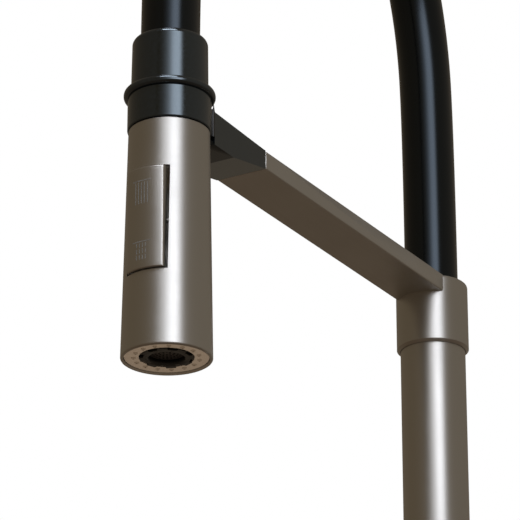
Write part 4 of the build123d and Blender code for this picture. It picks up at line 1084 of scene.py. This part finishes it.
@dataclass(frozen=True)
class SprayFace:
    """Underside of the spray: taupe face, soft nozzles and the dark jet insert."""

    count: int = 15
    circle: float = 12.4 * MM
    nozzle: float = 0.95 * MM
    tip_hole: float = 0.38 * MM
    hole: float = 10.4 * MM
    rim: float = 1.0 * MM
    thick: float = 2.4 * MM
    hole_edge: float = 0.15 * MM
    rim_edge: float = 0.3 * MM
    nozzle_sides: int = 20
    # heights above the nozzles' tips: hole's floor, cone's foot, top inside the face
    tip_depth: float = 1.6 * MM
    cone: float = 0.5 * MM
    root: float = 3.6 * MM

    def build(self, maker: Maker) -> None:
        """Make the face, its nozzles and the insert."""
        face = Span.of("face_plate")
        low, high = face.bottom, face.top
        shape = outline([
            (self.hole, low, self.hole_edge), (face.radius, low, self.rim_edge), (face.radius, high),
            (face.radius - self.rim, high), (face.radius - self.rim, low + self.thick),
            (self.hole, low + self.thick),
        ])
        maker.stand_in(turned("spray_face", shape, SPRAY), "face_plate")
        maker.stand_in(self.nozzles(), "nozzle_mat")
        maker.copies("aerator_ring")
        maker.copies("aerator_mesh", look="mesh_dark")

    def nozzles(self) -> bpy.types.Object:
        """Return the ring of nozzles: one small turned cone with a hole, set out round a circle."""
        tip = Span.of("nozzle_mat").bottom
        floor = tip + self.tip_depth
        shape = outline([
            (0, floor), (self.tip_hole, floor), (self.tip_hole, tip, 0.05 * MM),
            (self.nozzle - 0.3 * MM, tip, 0.2 * MM), (self.nozzle, tip + self.cone, 0.1 * MM),
            (self.nozzle, tip + self.root), (0, tip + self.root),
        ], closed=False)
        sides = np.arange(self.nozzle_sides)[None] / self.nozzle_sides * math.tau
        parts: list[bpy.types.Object] = []
        for index, turn in enumerate((np.arange(self.count) + 0.5) / self.count * math.tau):
            line = Line(x=self.circle * math.sin(turn), y=SPRAY.y - self.circle * math.cos(turn))
            points = line.place(shape[:, :1], shape[:, 1:], sides)
            parts.append(grid_object(f"nozzle_{index}", points, (False, True),
                                     np.zeros((len(shape) + 1, self.nozzle_sides + 1, 2))))
        return join("spray_nozzles", parts)


# ---- base and lever
@dataclass(frozen=True)
class Base:
    """Foot ring, mixer body with its side housing, and what clamps it under the worktop."""

    foot_round: float = 1.0 * MM
    body_round: float = 1.2 * MM
    housing_r: float = 21.0 * MM
    cartridge_r: float = 17.55 * MM
    socket_depth: float = 26.0 * MM
    pitch: float = 1.5 * MM
    thread: float = 0.8 * MM
    shank_bore: float = 13.5 * MM
    seal_width: float = 6.0 * MM
    shank_gap: float = 0.3 * MM
    housing_from: float = 2.0 * MM
    cartridge_floor: float = 12.0 * MM
    shank_socket: float = 12.0 * MM
    # each inlet: radius, distance from the axis, and its ends above the body's bottom
    inlet_r: float = 4.5 * MM
    inlet_y: float = 7.0 * MM
    inlet_ends: tuple[float, float] = (11.0 * MM, 25.0 * MM)
    shank_sides: int = 96
    shank_rings: int = 330
    spigot_r: float = 15.0 * MM
    spigot_step: float = 5.0 * MM

    def build(self, maker: Maker) -> None:
        """Make the visible pieces of the base."""
        foot, seal = Span.of("base_ring"), Span.of("base_seal")
        shank = Span.of("mounting_shank")
        inner = shank.radius + self.shank_gap
        shape = outline([
            (inner, foot.bottom), (seal.radius - self.seal_width, foot.bottom),
            (seal.radius - self.seal_width, seal.top),
            (seal.radius, seal.top), (seal.radius, foot.bottom), (foot.radius, foot.bottom, 0.2 * MM),
            (foot.radius, foot.top, self.foot_round), (inner, foot.top),
        ])
        maker.stand_in(turned("foot_ring", shape, COLUMN), "base_ring")
        self.body(maker)
        maker.stand_in(self.shank(), "mounting_shank")
        maker.copies("base_seal", "mounting_gasket", "mounting_washer", "mounting_nut", "column_screw")

    def body(self, maker: Maker) -> None:
        """Turn the upright body, join the side housing and cut the sockets and inlets."""
        body = Span.of("base_body")
        radius = body.high[1]
        shape = outline([(0, body.bottom), (radius, body.bottom, 0.3 * MM),
                         (radius, body.top, self.body_round), (0, body.top)], closed=False)
        piece = turned("mixer_body", shape, COLUMN, closed=False)
        end = body.high[0]
        shape = outline([(0, self.housing_from), (self.housing_r, self.housing_from),
                         (self.housing_r, end, 0.4 * MM), (0, end)], closed=False)
        carve(piece, turned("housing", shape, CARTRIDGE, closed=False), "UNION")
        drill(piece, self.cartridge_r, CARTRIDGE, self.cartridge_floor, end + MM)
        tube = Span.of("column_tube").radius
        drill(piece, tube + 0.05 * MM, COLUMN, body.top - self.socket_depth, body.top + MM)
        drill(piece, self.shank_bore, COLUMN, body.bottom - MM, body.bottom + self.shank_socket)
        low, high = (body.bottom + end for end in self.inlet_ends)
        for side in (-self.inlet_y, self.inlet_y):
            drill(piece, self.inlet_r, Line(y=side), low, high)
        maker.stand_in(piece, "base_body")

    def shank(self) -> bpy.types.Object:
        """Return the hollow shank with its thread.

        Below the foot the radius falls by the thread's depth times a triangle wave of
        height / pitch - angle / full turn, which is a true screw line.
        """
        span = Span.of("mounting_shank")
        seat = Span.of("base_ring").bottom
        z = np.linspace(span.bottom, seat - MM, self.shank_rings)[:, None]
        angle = np.arange(self.shank_sides)[None] / self.shank_sides * math.tau
        wave = np.abs(((z / self.pitch - angle / math.tau) % 1.0) * 2 - 1)
        ends = np.clip(np.minimum(z - span.bottom, seat - MM - z) / MM, 0, 1)
        thread = span.radius - self.thread * (1 - (1 - wave) * ends)
        step = seat + self.spigot_step
        plain = np.array([
            (span.radius, seat), (span.radius, step), (self.spigot_r, step),
            (self.spigot_r, span.top), (self.shank_bore, span.top), (self.shank_bore, span.bottom),
        ])
        radius = np.concatenate([thread, plain[:, :1] + 0 * angle])
        height = np.concatenate([z + 0 * angle, plain[:, 1:] + 0 * angle])
        points = COLUMN.place(radius, height, angle)
        uv = np.zeros((len(points) + 1, self.shank_sides + 1, 2))
        return grid_object("threaded_shank", points, (True, True), uv)


@dataclass(frozen=True)
class Lever:
    """Dome over the cartridge, round hub and slim handle."""

    dome_r: float = 19.0 * MM
    hub_gap: float = 0.6 * MM
    hub_edge: float = 0.5 * MM
    hub_round: float = 2.0 * MM
    handle_round: float = 2.0 * MM
    pivot: float = 36.0 * MM
    plug_gap: float = 0.05 * MM
    plug_way: float = 6.0 * MM

    def build(self, maker: Maker) -> None:
        """Make the dome, the hub and the handle."""
        hub, handle = Span.of("lever_hub"), Span.of("lever_handle")
        hub_r = (hub.high[1] - hub.low[1]) / 2
        hollow = self.dome_r + self.hub_gap
        start = hub.low[0] - self.pivot
        sweep = np.linspace(0, math.acos(start / hollow), 28)
        cup = np.stack([hollow * np.sin(sweep), self.pivot + hollow * np.cos(sweep)], axis=1)
        rest = outline([
            (float(cup[-1][0]), hub.low[0]), (hub_r, hub.low[0], self.hub_edge),
            (hub_r, hub.high[0], self.hub_round), (0, hub.high[0]),
        ], closed=False, run=4 * MM)
        shape = np.concatenate([cup, rest[1:]])
        piece = turned("lever_cap", shape, CARTRIDGE, closed=False)
        plug = Span.of("lever_plug")
        drill(piece, plug.radius + self.plug_gap, Line(x=plug.middle[0]), hub.bottom - MM,
              hub.bottom + self.plug_way)
        maker.stand_in(piece, "lever_hub")
        shape = outline([
            (0, handle.bottom), (handle.radius, handle.bottom),
            (handle.radius, handle.top, self.handle_round), (0, handle.top),
        ], closed=False)
        line = Line(x=handle.middle[0])
        maker.stand_in(turned("lever_bar", shape, line, closed=False), "lever_handle")
        maker.copies("dome_cap", "lever_plug", "cartridge_nut")


def main() -> None:
    """Build the faucet round the frame."""
    logging.basicConfig(level=logging.INFO, format="%(name)s: %(message)s")
    Studio().build()
    maker = Maker()
    for part in (ArchHose(), Column(), Arm(), HoseEnd(), SprayHead(), SprayFace(), Base(), Lever()):
        part.build(maker)
    maker.dress_rest()


if __name__ == "__main__":
    main()
